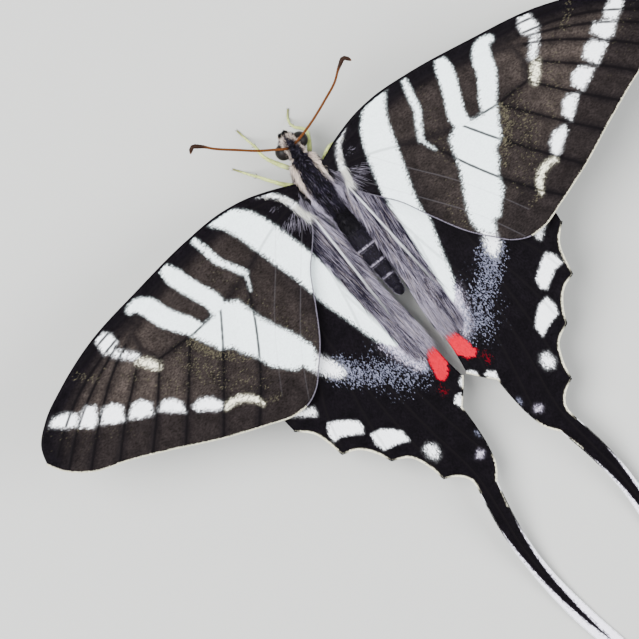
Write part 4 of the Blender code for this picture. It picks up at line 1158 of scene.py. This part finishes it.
def skin_section(y):
    """Half width, half height and middle height of the skin at each y.

    Head and thorax pass through the stations; the abdomen is its taper times a swell between
    the grooves of its rings, closed by a round tip.
    """
    stations = smooth_path(SKIN_STATIONS, 0.1)[::-1]
    width, height, middle = (np.interp(y, stations[:, 0], stations[:, k]) for k in (1, 2, 3))
    stops = np.array((ABDOMEN_FRONT, *ABDOMEN_RINGS))
    groove = np.min(np.abs(y[:, None] - stops[None, :]), axis=1)
    radius = abdomen_radius(y) - 0.08 - 0.1 * np.exp(-(groove / 0.14) ** 2)
    last = ABDOMEN_RINGS[-1]
    tip = np.clip((last - y) / (last - ABDOMEN_TIP), 0.0, 1.0)
    radius = radius * np.sqrt(np.maximum(1.0 - tip ** 2.2, 0.0))
    share = np.clip((y - ABDOMEN_FRONT) / (ABDOMEN_TIP - ABDOMEN_FRONT), 0.0, 1.0)
    behind = ease((-8.5 - y) / 0.5)
    width = width + behind * (radius - width)
    height = height + behind * (1.05 * radius - height)
    middle = middle + behind * (THORAX_HEIGHT - ABDOMEN_DROP * share ** 1.5 - middle)
    return width, height, middle


def skin_point(y, angle):
    """Place on the skin at y, angle 0 at the back's midline and growing to the right."""
    width, height, middle = skin_section(y)
    return np.stack([body_x(y) + width * np.sin(angle), y, middle + height * np.cos(angle)],
                    axis=-1)


def skin_outward(y, angle):
    """Outward direction of the skin, from its slopes along and around."""
    step = 0.05
    forward = skin_point(y + step, angle) - skin_point(y - step, angle)
    turn = skin_point(y, angle + step) - skin_point(y, angle - step)
    out = np.cross(turn, forward)
    length_out = np.linalg.norm(out, axis=-1)[..., None]
    return out / np.maximum(length_out, 1e-9)


def body_tone(y, angle, colours, draw=None):
    """Colour of skin and coat: black back, cream stripes turning lilac, dark sides, pale belly.

    w is the distance from the back's midline, and `flank` is 1 at the body's side. The black is
    painted lighter near the midline as a painted highlight, and a third of the tufts are painted
    dusky and lilac as glints. The abdomen is black with pale rings, a pale line low on its side
    and dusky purple scales between, some of its tufts painted as glints.
    """
    black, stripe, lilac, dusk, belly = shades(colours, "black stripe lilac dusk belly")
    width = skin_section(y)[0]
    turn = np.abs((angle + pi) % tau - pi)
    w = np.where(turn < pi / 2, width * np.sin(turn), width * (2 - np.sin(turn)))
    w = w * (1 + 0.3 * ease((y + 1.6) / 0.8))
    # streak is each tuft's own random number: it picks the painted glints of the coat, and the pale hair low
    # on the abdomen's side.
    streak = np.zeros(len(y))
    if draw is not None:
        w = w + draw.normal(0, 0.11, len(w))
        streak = draw.uniform(size=len(y))
    inner = np.interp(y, *STRIPE_INNER)
    outer = np.interp(y, *STRIPE_OUTER)
    # Painted highlight: the black is lighter near the back's midline, standing in for the gloss on top of
    # head and thorax.
    tone = black * (1 + 0.5 * bump((w - 0.2) / 0.8))[:, None]
    # Painted glints: a third of the tufts are painted dusky, and a few of them lilac, standing in for the
    # blue sheen of the black scales.
    tone = mixed(tone, dusk, 0.9 * (streak > 0.66))
    tone = mixed(tone, lilac, 0.3 * (streak > 0.93))
    tone = mixed(tone, dusk, 0.4 * ease((w - outer) / 0.15 + 0.5))
    tone = mixed(tone, mixed(stripe, lilac * 1.15, ease((-4.2 - y) / 2.0)),
                 ease((w - inner) / 0.12 + 0.5) * ease((outer - w) / 0.15 + 0.5))
    tone = mixed(tone, belly, ease((turn - radians(128)) / radians(14)) * (y < -1.4))

    flank = turn / (pi / 2)
    lateral = bump((flank - 0.76) / 0.13) * np.interp(y, (-16.5, -14.0, -12.0), (0.0, 0.5, 1.0))
    rings = np.zeros_like(y)
    for ring, strength in zip(ABDOMEN_RINGS[1:5], RING_STRENGTHS):
        rings = np.maximum(rings, strength * bump((y - ring - 0.05) / 0.19) * (flank < 0.95))
    low_side = (0.15 + 0.6 * (streak > 0.5)) * ease((flank - 0.62) / 0.12) * (flank < 1.15)
    pale = np.maximum.reduce([0.4 * lateral, 0.75 * rings, bump((flank - 0.62) / 0.2) * rings,
                              bump((flank - 1.3) / 0.2), low_side])
    # Dusky purple scales, more of them to the rear, and on a quarter of the tufts painted glints: a dusky
    # tone standing in for the blue sheen of the black segments.
    purple_and_glint = (0.12 + 0.6 * (streak > 0.75)) * np.interp(y, (-12.2, -11.6), (1.0, 0.2))
    abdomen = mixed(mixed(black, dusk, purple_and_glint), lilac * 1.1, pale)
    abdomen = mixed(abdomen, belly * 0.8, ease((flank - 1.55) / 0.2))
    return mixed(tone, abdomen, ease((-8.3 - y) / 0.5))


def coat_tufts(name, count, y_range, seed, colours, size, width, lift, lie, material):
    """Tufts rooted on the skin, lying along the body and lifted a little off it."""
    draw = np.random.default_rng(seed)
    y = draw.uniform(*y_range, count)
    angle = draw.uniform(-pi, pi, count)
    outward = skin_outward(y, angle)
    backward = np.tile((0.0, lie, 0.0), (count, 1)) + draw.normal(0, 0.22, (count, 3))
    backward -= np.einsum("ij,ij->i", backward, outward)[:, None] * outward
    ways = backward + lift * outward * draw.uniform(0.4, 1.4, (count, 1))
    lengths = size(y) * draw.uniform(0.65, 1.15, count)
    bend = draw.uniform(-0.22, 0.02, count)
    tones = body_tone(y, angle, colours, draw) * draw.uniform(0.6, 1.25, (count, 1))
    bake = np.stack([0.5 + angle / tau * 0.98, (y - ABDOMEN_TIP) / 22.0], axis=1)
    return add_tufts(name, skin_point(y, angle) - 0.04 * outward, ways, outward, lengths, width,
                     bend, bake, tones, material)


def head_stripes(colours, width, material):
    """Cream hair from both sides of the crown, combed back and out over the eyes' inner edges."""
    stations = (-2.1, -1.2, -0.4, 0.66)
    for name, side in SIDES:
        draw = np.random.default_rng(61)
        count = 2400
        y = draw.uniform(stations[0], stations[-1], count)
        across = np.interp(y, stations, (1.0, 0.72, 0.62, 0.42)) + 0.08 * draw.normal(size=count)
        half, height, middle = skin_section(y)
        across = np.clip(across, 0.05, 0.97 * half)
        level = middle + height * np.sqrt(1.0 - (across / half) ** 2)
        roots = np.stack([body_x(y) + side * across, y, level - 0.03], axis=1)
        out = np.interp(y, stations, (0.3, 0.5, 0.5, 0.2))
        ways = np.stack([side * out + 0.12 * draw.normal(size=count),
                         np.interp(y, (-0.4, 0.66), (-0.9, -0.5)), draw.uniform(0.2, 0.5, count)],
                        axis=1)
        lengths = np.interp(y, (-2.1, -0.4, 0.66), (0.7, 0.5, 0.3)) * draw.uniform(0.6, 1.1, count)
        bake = np.stack([0.5 + side * across / 5, (y - ABDOMEN_TIP) / 22.0], axis=1)
        bend = draw.uniform(-0.45, -0.1, count)
        tones = np.array(colours.stripe) * draw.uniform(0.75, 1.05, (count, 1))
        add_tufts(f"head_{name}_stripe", roots, ways, upward(count), lengths, 0.85 * width, bend,
                  bake, tones, material, 0.75)


# Operators


class BUTTERFLY_OT_forewings(bpy.types.Operator):
    """Make both forewings with their bands, veins and folds"""

    bl_idname = "butterfly.forewings"
    bl_label = "Forewings"

    def execute(self, context):
        colours = context.scene.butterfly_colours
        plan = forewing_plan()
        material = wing_material("forewing_scales", colours, (0.4, 1.0, 1.0), colours.olive)
        for name, angle in (("left", 0.0), ("right", RIGHT_SWEEP)):
            wing_piece("forewing", name, plan, forewing_height, forewing_look, angle, context.scene,
                       material)
        return {"FINISHED"}


class BUTTERFLY_OT_hindwings(bpy.types.Operator):
    """Make both hindwings with their tails, spots and red patch"""

    bl_idname = "butterfly.hindwings"
    bl_label = "Hindwings"

    def execute(self, context):
        colours = context.scene.butterfly_colours
        plan = hindwing_plan()
        material = wing_material("hindwing_scales", colours, (1.0, 0.45, 1.0), colours.blue)
        for name in ("left", "right"):
            wing_piece("hindwing", name, plan, hindwing_height, hindwing_look, 0.0, context.scene,
                       material)
        return {"FINISHED"}


class BUTTERFLY_OT_fringes(bpy.types.Operator):
    """Make the scales that edge the wings"""

    bl_idname = "butterfly.fringes"
    bl_label = "Wing fringes"

    def execute(self, context):
        size = context.scene.butterfly_sizes.fringe / MM
        material = tone_material("fringe_scales", 0.7, 0.1)
        cream, white, grey, black = shades(context.scene.butterfly_colours,
                                           "cream white lilac black")

        def bay_tone(spots):
            return mixed(black, cream, ease((from_teeth(spots) - 0.2) / 0.8))

        def lobe_tone(spots):
            share = np.interp(spots[:, 1], (-42.5, -40.5, -39.6, -34.2, -33.8), (1, 1, 0, 0, 1))
            return mixed(black, cream, share * ease((np.abs(spots[:, 0] - 1.4) - 0.2) / 0.15))

        def tail_tone(spots):
            return mixed(black, white, np.interp(spots[:, 1], (-49.5, -47.5, -43.6, -43.2),
                                                 (1.0, 0.0, 0.0, 0.8)))

        rear = smooth_path(FOREWING_REAR, 0.2)
        hind = follow(HINDWING_OUTER, 0.2)
        y = np.linspace(TAIL_START, TAIL_TIP + 0.3, 160)
        outer_tail, inner_tail = (np.stack([tail_middle(y) + half, y], axis=1)
                                  for half in (tail_half(y), -tail_half(y)))
        margins = (
            ("forewing", "outer", rear[rear[:, 0] > TORNUS_X], lambda spots: 0.8 * cream, size),
            ("forewing", "inner", rear[(rear[:, 0] <= TORNUS_X) & (rear[:, 0] > 3.0)],
             lambda spots: 0.32 * grey, 0.7 * size),
            ("hindwing", "margin", hind[hind[:, 1] < -24.4], bay_tone, size),
            ("hindwing", "tail_outer", outer_tail, tail_tone, 0.6 * size),
            ("hindwing", "tail_inner", inner_tail[::-1], tail_tone, 0.6 * size),
            ("hindwing", "lobe", follow(HINDWING_INNER[1:], 0.2)[::-1], lobe_tone, size),
        )
        wings = {"forewing": (forewing_height, RIGHT_SWEEP, 11),
                 "hindwing": (hindwing_height, 0.0, 12)}
        for name, side in SIDES:
            for wing, part, line, tones, length_now in margins:
                height, right_angle, seed = wings[wing]
                fringe_tufts(f"{wing}_{name}_{part}_fringe", line[::-1], height, side,
                             right_angle if side > 0 else 0.0, tones, material, length_now, seed)
        return {"FINISHED"}


class BUTTERFLY_OT_body(bpy.types.Operator):
    """Make the one skin of head, thorax and abdomen"""

    bl_idname = "butterfly.body"
    bl_label = "Body skin"

    def execute(self, context):
        rows, around = 420, 84
        front = 0.73
        y = (front - (front - ABDOMEN_TIP) * np.linspace(0.0, 1.0, rows))[1:-1]
        angle = np.linspace(-pi, pi, around, endpoint=False)
        y, angle = (part.ravel() for part in np.meshgrid(y, angle, indexing="ij"))
        solid_piece("body_skin", skin_point(y, angle).reshape(-1, around, 3),
                    tone_material("body_scales", 0.55, 0.09, 0.5),
                    ("head", "thorax", "abdomen"),
                    body_tone(y, angle, context.scene.butterfly_colours))
        return {"FINISHED"}


class BUTTERFLY_OT_coat(bpy.types.Operator):
    """Cover the body with tufts of hair and scales"""

    bl_idname = "butterfly.coat"
    bl_label = "Body coat"

    def execute(self, context):
        sizes = context.scene.butterfly_sizes
        colours = context.scene.butterfly_colours
        fur = sizes.fur / MM
        width = sizes.hair / MM
        material = tone_material("body_hair", 0.6, 0.1, 0.15)
        coat_tufts("thorax_coat", sizes.tufts, (-8.8, -1.7), 21, colours,
                   lambda y: fur * np.interp(y, (-8.5, -5.0, -1.8), (1.3, 0.95, 0.7)), width, 0.4,
                   -1.0, material)
        coat_tufts("head_coat", HEAD_TUFTS, (-1.65, 0.66), 22, colours,
                   lambda y: fur * np.interp(y, (-1.5, 0.0, 0.7), (0.7, 0.62, 0.6)), 0.8 * width,
                   0.7, 0.3, material)
        head_stripes(colours, width, material)
        coat_tufts("abdomen_coat", ABDOMEN_TUFTS, (-19.9, -8.6), 23, colours,
                   lambda y: fur * np.interp(y, (-19.9, -14.0, -8.6), (0.32, 0.4, 0.85)), width,
                   0.24, -1.0, material)
        return {"FINISHED"}


class BUTTERFLY_OT_wing_hair(bpy.types.Operator):
    """Make the long hair along the inner edges of the hindwings and on the wing roots"""

    bl_idname = "butterfly.wing_hair"
    bl_label = "Wing hair"

    def execute(self, context):
        sizes = context.scene.butterfly_sizes
        colours = context.scene.butterfly_colours
        material = tone_material("wing_hair", 0.55, 0.1, 0.1)
        for number, (name, side) in enumerate(SIDES):
            self.edge_hair(name, side, 31 + number, sizes, colours, material)
            self.root_hair(name, side, sizes, colours, material)
        return {"FINISHED"}

    def edge_hair(self, name, side, seed, sizes, colours, material):
        """Long hair combed back, in pale and dusky streaks.

        A tenth of it lies on top as one bright line, and a fifth of the rest hangs over the
        wing's inner rim. The right wing's line runs a little outwards.
        """
        lilac, dusk, stripe, white = shades(colours, "lilac dusk stripe white")
        draw = np.random.default_rng(seed)
        count = 11500
        in_line = draw.uniform(size=count) < 0.1
        y = -7.2 - 17.6 * draw.uniform(size=count) ** 0.85
        y = np.where(in_line, -7.0 - 10.5 * draw.uniform(size=count), y)
        first = np.interp(y, (-25.0, -19.5, -17.0, -8.0), (0.75, 1.15, 1.6, 1.8))
        last = np.interp(y, (-25.0, -20.0, -15.0, -8.0), (3.7, 4.0, 4.5, 5.0))
        x = first + (last - first) * draw.uniform(size=count) ** 0.95
        on_rim = ~in_line & (draw.uniform(size=count) < 0.22)
        y = np.where(on_rim, -7.6 - 11.8 * draw.uniform(size=count), y)
        edge = np.interp(y, (-20.0, -19.0, -17.0), (1.55, 1.85, 2.15))
        x = np.where(on_rim, edge + 0.25 * draw.uniform(-0.6, 1.0, count), x)
        skew = 0.07 if side > 0 else 0.0
        x = np.where(in_line, 2.62 + skew * (-5.0 - y) + 0.035 * draw.normal(size=count), x)
        pale_share = np.interp(x, (1.6, 2.3, 3.0, 3.8, 4.6), (0.62, 0.46, 0.26, 0.22, 0.16))
        pale_share = pale_share + 0.2 * ease((-13.0 - y) / 6.0)
        pale_share = pale_share + 0.3 * np.sin(tau * (x + 0.06 * y) / 0.45 + 2 * np.sin(y / 2.5))
        pale = draw.uniform(size=count) < pale_share
        tint = np.where((draw.uniform(size=count) < 0.15)[:, None], 0.4 * (stripe + lilac), lilac)
        tones = np.where(pale[:, None], tint * draw.uniform(0.5, 1.1, (count, 1)),
                         dusk * draw.uniform(0.4, 1.1, (count, 1)))
        fade = np.interp(y, (-16.5, -14.0, -12.0), (0.4, 0.75, 1.05))[:, None]
        bright = (0.85 * white + 0.15 * lilac) * fade * draw.uniform(0.8, 1.05, (count, 1))
        tones = np.where(in_line[:, None], bright, tones)
        x = x - MARK_OFFSET
        roots = laid(side, x, y, hindwing_height(x, y) + np.where(in_line, 0.2, 0.05))
        drift = -0.03 * (x - 1.5) + draw.normal(0, 0.07, count)
        drift = np.where(in_line, draw.normal(skew, 0.012, count), drift)
        drift = np.where(on_rim, draw.uniform(-0.3, -0.06, count), drift)
        climb = np.where(on_rim, -0.75 * drift, draw.uniform(0.03, 0.1, count))
        lengths = sizes.lock / MM * draw.uniform(0.35, 1.15, count)
        lengths = np.where(on_rim, 0.8 * lengths, lengths)
        lengths = np.minimum(lengths, 27.6 + y - draw.uniform(0.0, 2.2, count))
        add_tufts(f"hindwing_{name}_hair", roots, laid(side, drift, np.full(count, -1.0), climb),
                  upward(count), np.maximum(lengths, 0.4), 0.8 * sizes.hair / MM,
                  draw.uniform(-0.05, 0.0, count),
                  np.stack([(x + 1) / 45 + 0.4, (y + 70) / 72], axis=1), tones, material,
                  0.85)

    def root_hair(self, name, side, sizes, colours, material):
        """Short hair over the root of the forewing, cream on its streak and dusky beside it.

        An eighth of it is long fine rays that fan out from the wing's root.
        """
        lilac, black, cream, white = shades(colours, "lilac black cream white")
        draw = np.random.default_rng(32)
        count = 2200
        x = 1.9 + 3.4 * draw.uniform(size=count) ** 1.4
        share = (draw.uniform(-6.8, -3.6, count) + 6.8) / 3.2
        low = np.interp(x, (1.9, 2.6, 5.3), (-6.6, -7.2, -6.6))
        high = np.interp(x, (1.9, 2.6, 4.5, 5.3), (-4.1, -3.7, -3.0, -2.7))
        y = low + (high - low) * share
        spots = np.stack([x + MARK_OFFSET, y], axis=1)
        ray = draw.uniform(size=count) < 0.12
        chance = ease(ribbon_depth(RIBBONS[0][2], spots) / 0.5 + 0.5)
        in_streak = ~ray & (draw.uniform(size=count) < chance)
        dull = np.where(ray[:, None], 0.5 * lilac, 1.5 * black)
        tones = np.where(in_streak[:, None], 0.5 * (cream + white), dull)
        roots = laid(side, x, y, forewing_height(x, y) + 0.03)
        fan = np.where(in_streak, -1.7, np.arctan2(y + 4.0, x - 1.5)) + 0.12 * draw.normal(size=count)
        ways = laid(side, np.cos(fan), np.sin(fan), draw.uniform(0.03, 0.14, count))
        lengths = np.where(ray, 2.6, np.where(in_streak, np.interp(y, (-7.0, -5.0), (1.5, 0.7)), 0.55))
        add_tufts(f"forewing_{name}_root_hair", roots, ways, upward(count),
                  lengths * draw.uniform(0.6, 1.2, count),
                  np.where(ray | in_streak, 0.45, 0.8) * sizes.hair / MM,
                  draw.uniform(-0.06, 0.0, count), np.stack([(x + 1) / 45, (y + 70) / 72], axis=1),
                  tones * draw.uniform(0.8, 1.1, (count, 1)), material, 0.8)


class BUTTERFLY_OT_eyes(bpy.types.Operator):
    """Make the compound eyes"""

    bl_idname = "butterfly.eyes"
    bl_label = "Eyes"

    def execute(self, context):
        material = eye_material(context.scene.butterfly_colours)
        turn = np.linspace(0, pi, 66)[1:-1, None]
        angle = np.linspace(0, tau, 96, endpoint=False)[None, :]
        size = 0.93 * EYE_RADIUS
        reach = size * np.cos(turn)
        reach = np.where(reach > 0, reach, 0.35 * reach)
        radius = size * np.sin(turn)
        for name, side in SIDES:
            x = body_x(HEAD_CENTRE_Y) + side * (EYE_INNER - 0.04 + reach)
            rings = np.stack([np.repeat(x, angle.size, axis=1),
                              EYE_CENTRE[0] + radius * np.cos(angle),
                              EYE_CENTRE[1] + radius * np.sin(angle)], axis=-1)
            solid_piece(f"eye_{name}_faceted", rings, material, (f"eye_{name}",))
        return {"FINISHED"}


class BUTTERFLY_OT_palps(bpy.types.Operator):
    """Make the furry palps before the face"""

    bl_idname = "butterfly.palps"
    bl_label = "Palps"

    def execute(self, context):
        hair_width = context.scene.butterfly_sizes.hair / MM
        black, stripe = shades(context.scene.butterfly_colours, "black stripe")
        skin = tone_material("palp_skin", 0.6, 0.08, 0.3)
        hair = tone_material("palp_hair", 0.6, 0.1, 0.15)
        sides = 24
        count = 700
        for name, side in SIDES:
            draw = np.random.default_rng(41)
            x = body_x(HEAD_CENTRE_Y) + side * 0.42
            points = ((x, 0.1, 4.9), (x, 0.7, 5.1), (x, 0.98, 5.5), (x - side * 0.05, 1.02, 6.0))
            line = smooth_path(points, 0.04)
            radii = spread((0.14, 0.2, 0.2, 0.06), line, points)
            across = (1.0, 0.0, 0.0)
            rings = tube_rings(line, radii, sides, across)
            solid_piece(f"palp_{name}_skin", rings, skin, (f"palp_{name}",),
                        np.tile(black * 1.2, (len(line), 1)))
            at = draw.integers(6, len(line) - 1, count)
            angle = draw.uniform(0, tau, count)
            roots = rings[at, (angle / tau * sides).astype(int) % sides]
            outward = unit(roots - line[at])
            ways = ways_along(line, across)[0][at] + 0.4 * outward
            ways = ways + 0.15 * draw.normal(size=(count, 3)) + (-0.45 * side, 0.25, 0.0)
            cream = ((outward[:, 0] * side > 0.6) & (at < 0.7 * len(line)))[:, None]
            add_tufts(f"palp_{name}_hair", roots, ways, outward,
                      0.5 * draw.uniform(0.6, 1.2, count), 0.6 * hair_width,
                      draw.uniform(-0.1, 0.1, count),
                      np.stack([angle / tau * 0.9 + 0.05, at / len(line)], axis=1),
                      np.where(cream, stripe * 0.7, black * 1.6), hair)
        return {"FINISHED"}


class BUTTERFLY_OT_proboscis(bpy.types.Operator):
    """Make the coiled tongue: a spiral r = R - pitch turn, with fine rings"""

    bl_idname = "butterfly.proboscis"
    bl_label = "Tongue"

    def execute(self, context):
        radius = context.scene.butterfly_sizes.tongue / MM
        x = body_x(HEAD_CENTRE_Y)
        turn = np.linspace(0, 2.6, 420)
        angle = pi * 0.85 + tau * turn
        reach = 0.95 - 0.29 * turn
        coil = np.stack([np.full(len(turn), x), reach * np.cos(angle), 3.5 + reach * np.sin(angle)],
                        axis=1)
        stem = smooth_path(((x, -0.4, 5.0), (x, -0.62, 4.6), (x, -0.84, 4.2), tuple(coil[0])), 0.03)
        line = np.vstack([stem[:-1], coil])
        lengths = along(line)
        radii = radius * (1 - 0.45 * lengths / lengths[-1]) * (1 + 0.05 * np.sin(tau * lengths / 0.09))
        horn = np.array(context.scene.butterfly_colours.horn)
        solid_piece("proboscis_coil", tube_rings(line, radii, 20, (1.0, 0.0, 0.0)),
                    tone_material("tongue_horn", 0.35, 0.1, 0.1, 0.0), ("proboscis",),
                    np.tile(horn, (len(line), 1)))
        return {"FINISHED"}


class BUTTERFLY_OT_antennae(bpy.types.Operator):
    """Make the ringed antennae with their hooked clubs"""

    bl_idname = "butterfly.antennae"
    bl_label = "Antennae"

    def execute(self, context):
        sizes = context.scene.butterfly_sizes
        rust, maroon = shades(context.scene.butterfly_colours, "rust maroon")
        material = tone_material("antenna_scales", 0.5, 0.08, 0.2, 0.1)
        shaft = sizes.feeler / MM
        club = sizes.club / MM
        for name, points in ANTENNAE.items():
            line = smooth_path(points, 0.03)
            lengths = along(line)
            total = lengths[-1]
            thick = np.interp(lengths, (0, 0.4, total - 2.6, total - 1.2, total - 0.35, total),
                              (1.5 * shaft, shaft, 0.95 * shaft, club, 0.85 * club, 0.25 * club))
            thick = thick * (1 + 0.07 * np.sin(tau * lengths / RING_LENGTH))
            share = np.maximum(ease((lengths - total + 2.7) / 1.0), 0.9 * ease((1.6 - lengths) / 1.2))
            ringed = rust * (0.9 + 0.25 * np.sin(tau * lengths / RING_LENGTH + 1.0))[:, None]
            tones = mixed(ringed, maroon, share)
            tones = mixed(tones, rust * 1.3, 0.5 * ease((lengths - total + 0.3) / 0.25))
            solid_piece(f"antenna_{name}_ringed", tube_rings(line, thick, 22, UP), material,
                        (f"antenna_{name}",), tones)
        return {"FINISHED"}


class BUTTERFLY_OT_legs(bpy.types.Operator):
    """Make the legs with their spurs, jointed feet and claws"""

    bl_idname = "butterfly.legs"
    bl_label = "Legs"

    def execute(self, context):
        sizes = context.scene.butterfly_sizes
        colours = context.scene.butterfly_colours
        pale, horn, dusk = shades(colours, "leg horn dusk")
        material = tone_material("leg_scales", 0.55, 0.09, 0.35, 0.15)
        hair = tone_material("leg_hair", 0.6, 0.1, 0.1)
        for number, (name, points) in enumerate(LEGS.items()):
            line = smooth_path(points, 0.05)
            line[:, 2] = np.maximum(line[:, 2], FOOT_HEIGHT)
            thick = spread(LEG_RADII, line, points)
            lengths = along(line)
            marks = spread(range(len(points)), line, points)
            foot = ease((marks - SHIN_END) / 0.2)
            foot_length = lengths - np.interp(SHIN_END, marks, lengths)
            joints = np.abs((foot_length / FOOT_JOINT + 0.5) % 1.0 - 0.5)
            thick = thick * (1 - 0.22 * foot * bump(joints / 0.18))
            thick = thick * (1 - 0.2 * bump((marks - SHIN_START) / 0.12))
            across = np.array(points[-1]) - np.array(points[1])
            across = np.array((-across[1], across[0], 0.0)) / np.hypot(across[0], across[1])
            rings = tube_rings(line, thick, 20, across)
            rings[..., 2] = np.maximum(rings[..., 2], 0.0)
            dark = np.maximum(0.75 * ease((marks - 4.2) / 1.5), 0.35 * foot * bump(joints / 0.2))
            tones = mixed(mixed(pale, horn, dark), dusk, ease((1.2 - marks) / 0.8))
            solid_piece(f"leg_{name}_scaled", rings, material, (f"leg_{name}",), tones)
            self.bristles(name, 50 + number, line, thick, marks, across, sizes.hair / MM, pale,
                          horn, hair)
        return {"FINISHED"}

    def bristles(self, name, seed, line, thick, marks, across, hair_width, pale, horn, material):
        """Short hair on thigh and shin, two spurs at the shin's end and two claws at the foot."""
        draw = np.random.default_rng(seed)
        count = 420
        usable = np.flatnonzero((marks > 1.0) & (marks < 5.4))
        at = usable[draw.integers(0, len(usable), count)]
        way, u, v = ways_along(line, across)
        angle = draw.uniform(0, tau, count)
        outward = np.cos(angle)[:, None] * u[at] + np.sin(angle)[:, None] * v[at]
        lengths = np.interp(marks[at], (1.0, 3.0, 5.0), (0.42, 0.3, 0.16))
        lengths = lengths * draw.uniform(0.7, 1.2, count)
        tones = np.tile(pale * 0.9, (count, 1)) * draw.uniform(0.7, 1.1, (count, 1))
        shin = int(np.abs(marks - SHIN_END).argmin())
        claw = len(line) - 3
        ends = [shin, shin, claw, claw]
        fans = np.array((-0.5, 0.5, -0.55, 0.55))[:, None]
        roots = np.vstack([line[at] + 0.85 * thick[at][:, None] * outward, line[ends]])
        roots[:, 2] = np.maximum(roots[:, 2], 0.03)
        ways = np.vstack([way[at] + 0.35 * outward, way[ends] + fans * across])
        ways[:, 2] = np.where(roots[:, 2] < 0.4, np.maximum(ways[:, 2], -0.02), ways[:, 2])
        bake = np.stack([np.r_[angle / tau, 0.2, 0.4, 0.6, 0.8], np.linspace(0.02, 0.98, len(roots))],
                        axis=1)
        add_tufts(f"leg_{name}_bristles", roots, ways, np.vstack([outward, upward(len(ends))]),
                  np.r_[lengths, 0.75, 0.75, 0.32, 0.32],
                  np.r_[np.full(count, 0.5 * hair_width), 0.11, 0.11, 0.07, 0.07], 0.0, bake,
                  np.vstack([tones, np.tile(horn * 1.2, (len(ends), 1))]), material, 0.8)


class BUTTERFLY_OT_stage(bpy.types.Operator):
    """Set the floor, the lights and the camera"""

    bl_idname = "butterfly.stage"
    bl_label = "Stage"

    def execute(self, context):
        stage = context.scene.butterfly_stage
        bpy.ops.mesh.primitive_plane_add(size=3.0)
        floor = context.object
        floor.name = "floor"
        floor.data.materials.append(floor_material(stage))
        for name, (spot, size) in LAMPS.items():
            self.light(context, name, spot, size, getattr(stage, name))
        world = context.scene.world or bpy.data.worlds.new("world")
        context.scene.world = world
        world.use_nodes = True
        sky = world.node_tree.nodes["Background"]
        sky.inputs["Color"].default_value = SKY_COLOUR
        sky.inputs["Strength"].default_value = SKY_STRENGTH
        self.camera(context, stage)
        return {"FINISHED"}

    def light(self, context, name, spot, size, power):
        """A round soft lamp that faces the butterfly."""
        lamp = bpy.data.lights.new(name, "AREA")
        lamp.shape = "DISK"
        lamp.size = size
        lamp.energy = power
        holder = bpy.data.objects.new(name, lamp)
        holder.location = spot
        aim = -holder.location
        holder.rotation_euler = aim.to_track_quat("-Z", "Y").to_euler()
        context.scene.collection.objects.link(holder)

    def camera(self, context, stage):
        """Straight above, turned so that VIEW_RIGHT is the picture's right."""
        camera = bpy.data.cameras.new("camera")
        holder = bpy.data.objects.new("camera", camera)
        middle = place(VIEW_MIDDLE)
        holder.location = (middle[0], middle[1], stage.view_height)
        holder.rotation_euler = (0.0, 0.0, atan2(VIEW_RIGHT[1], VIEW_RIGHT[0]))
        camera.sensor_width = SENSOR_WIDTH
        camera.lens = camera.sensor_width * (stage.view_height - WING_LEVEL) / stage.view_width
        camera.clip_start = 0.01
        context.scene.collection.objects.link(holder)
        context.scene.camera = holder


class BUTTERFLY_PT_panel(bpy.types.Panel):
    """Sizes, colours and steps of the butterfly"""

    bl_label = "Zebra swallowtail"
    bl_idname = "BUTTERFLY_PT_panel"
    bl_space_type = "VIEW_3D"
    bl_region_type = "UI"
    bl_category = "Butterfly"

    def draw(self, context):
        layout = self.layout
        for group in (context.scene.butterfly_sizes, context.scene.butterfly_colours,
                      context.scene.butterfly_stage):
            box = layout.box()
            for key in group.__annotations__:
                box.prop(group, key)
        for step in STEPS:
            layout.operator(step.bl_idname)


STEPS = (BUTTERFLY_OT_stage, BUTTERFLY_OT_body, BUTTERFLY_OT_forewings, BUTTERFLY_OT_hindwings,
         BUTTERFLY_OT_eyes, BUTTERFLY_OT_palps, BUTTERFLY_OT_proboscis, BUTTERFLY_OT_antennae,
         BUTTERFLY_OT_legs, BUTTERFLY_OT_coat, BUTTERFLY_OT_wing_hair, BUTTERFLY_OT_fringes)
GROUPS = {"butterfly_sizes": ButterflySizes, "butterfly_colours": ButterflyColours,
          "butterfly_stage": ButterflyStage}
CLASSES = (*GROUPS.values(), *STEPS, BUTTERFLY_PT_panel)


def register():
    """Add the settings, the steps and the panel to Blender."""
    for item in CLASSES:
        bpy.utils.register_class(item)
    for name, group in GROUPS.items():
        setattr(bpy.types.Scene, name, PointerProperty(type=group))


def unregister():
    """Take them away again."""
    for name in GROUPS:
        delattr(bpy.types.Scene, name)
    for item in reversed(CLASSES):
        bpy.utils.unregister_class(item)


def main():
    """Make every piece in turn."""
    register()
    for step in STEPS:
        family, name = step.bl_idname.split(".")
        getattr(getattr(bpy.ops, family), name)()


if __name__ == "__main__":
    main()
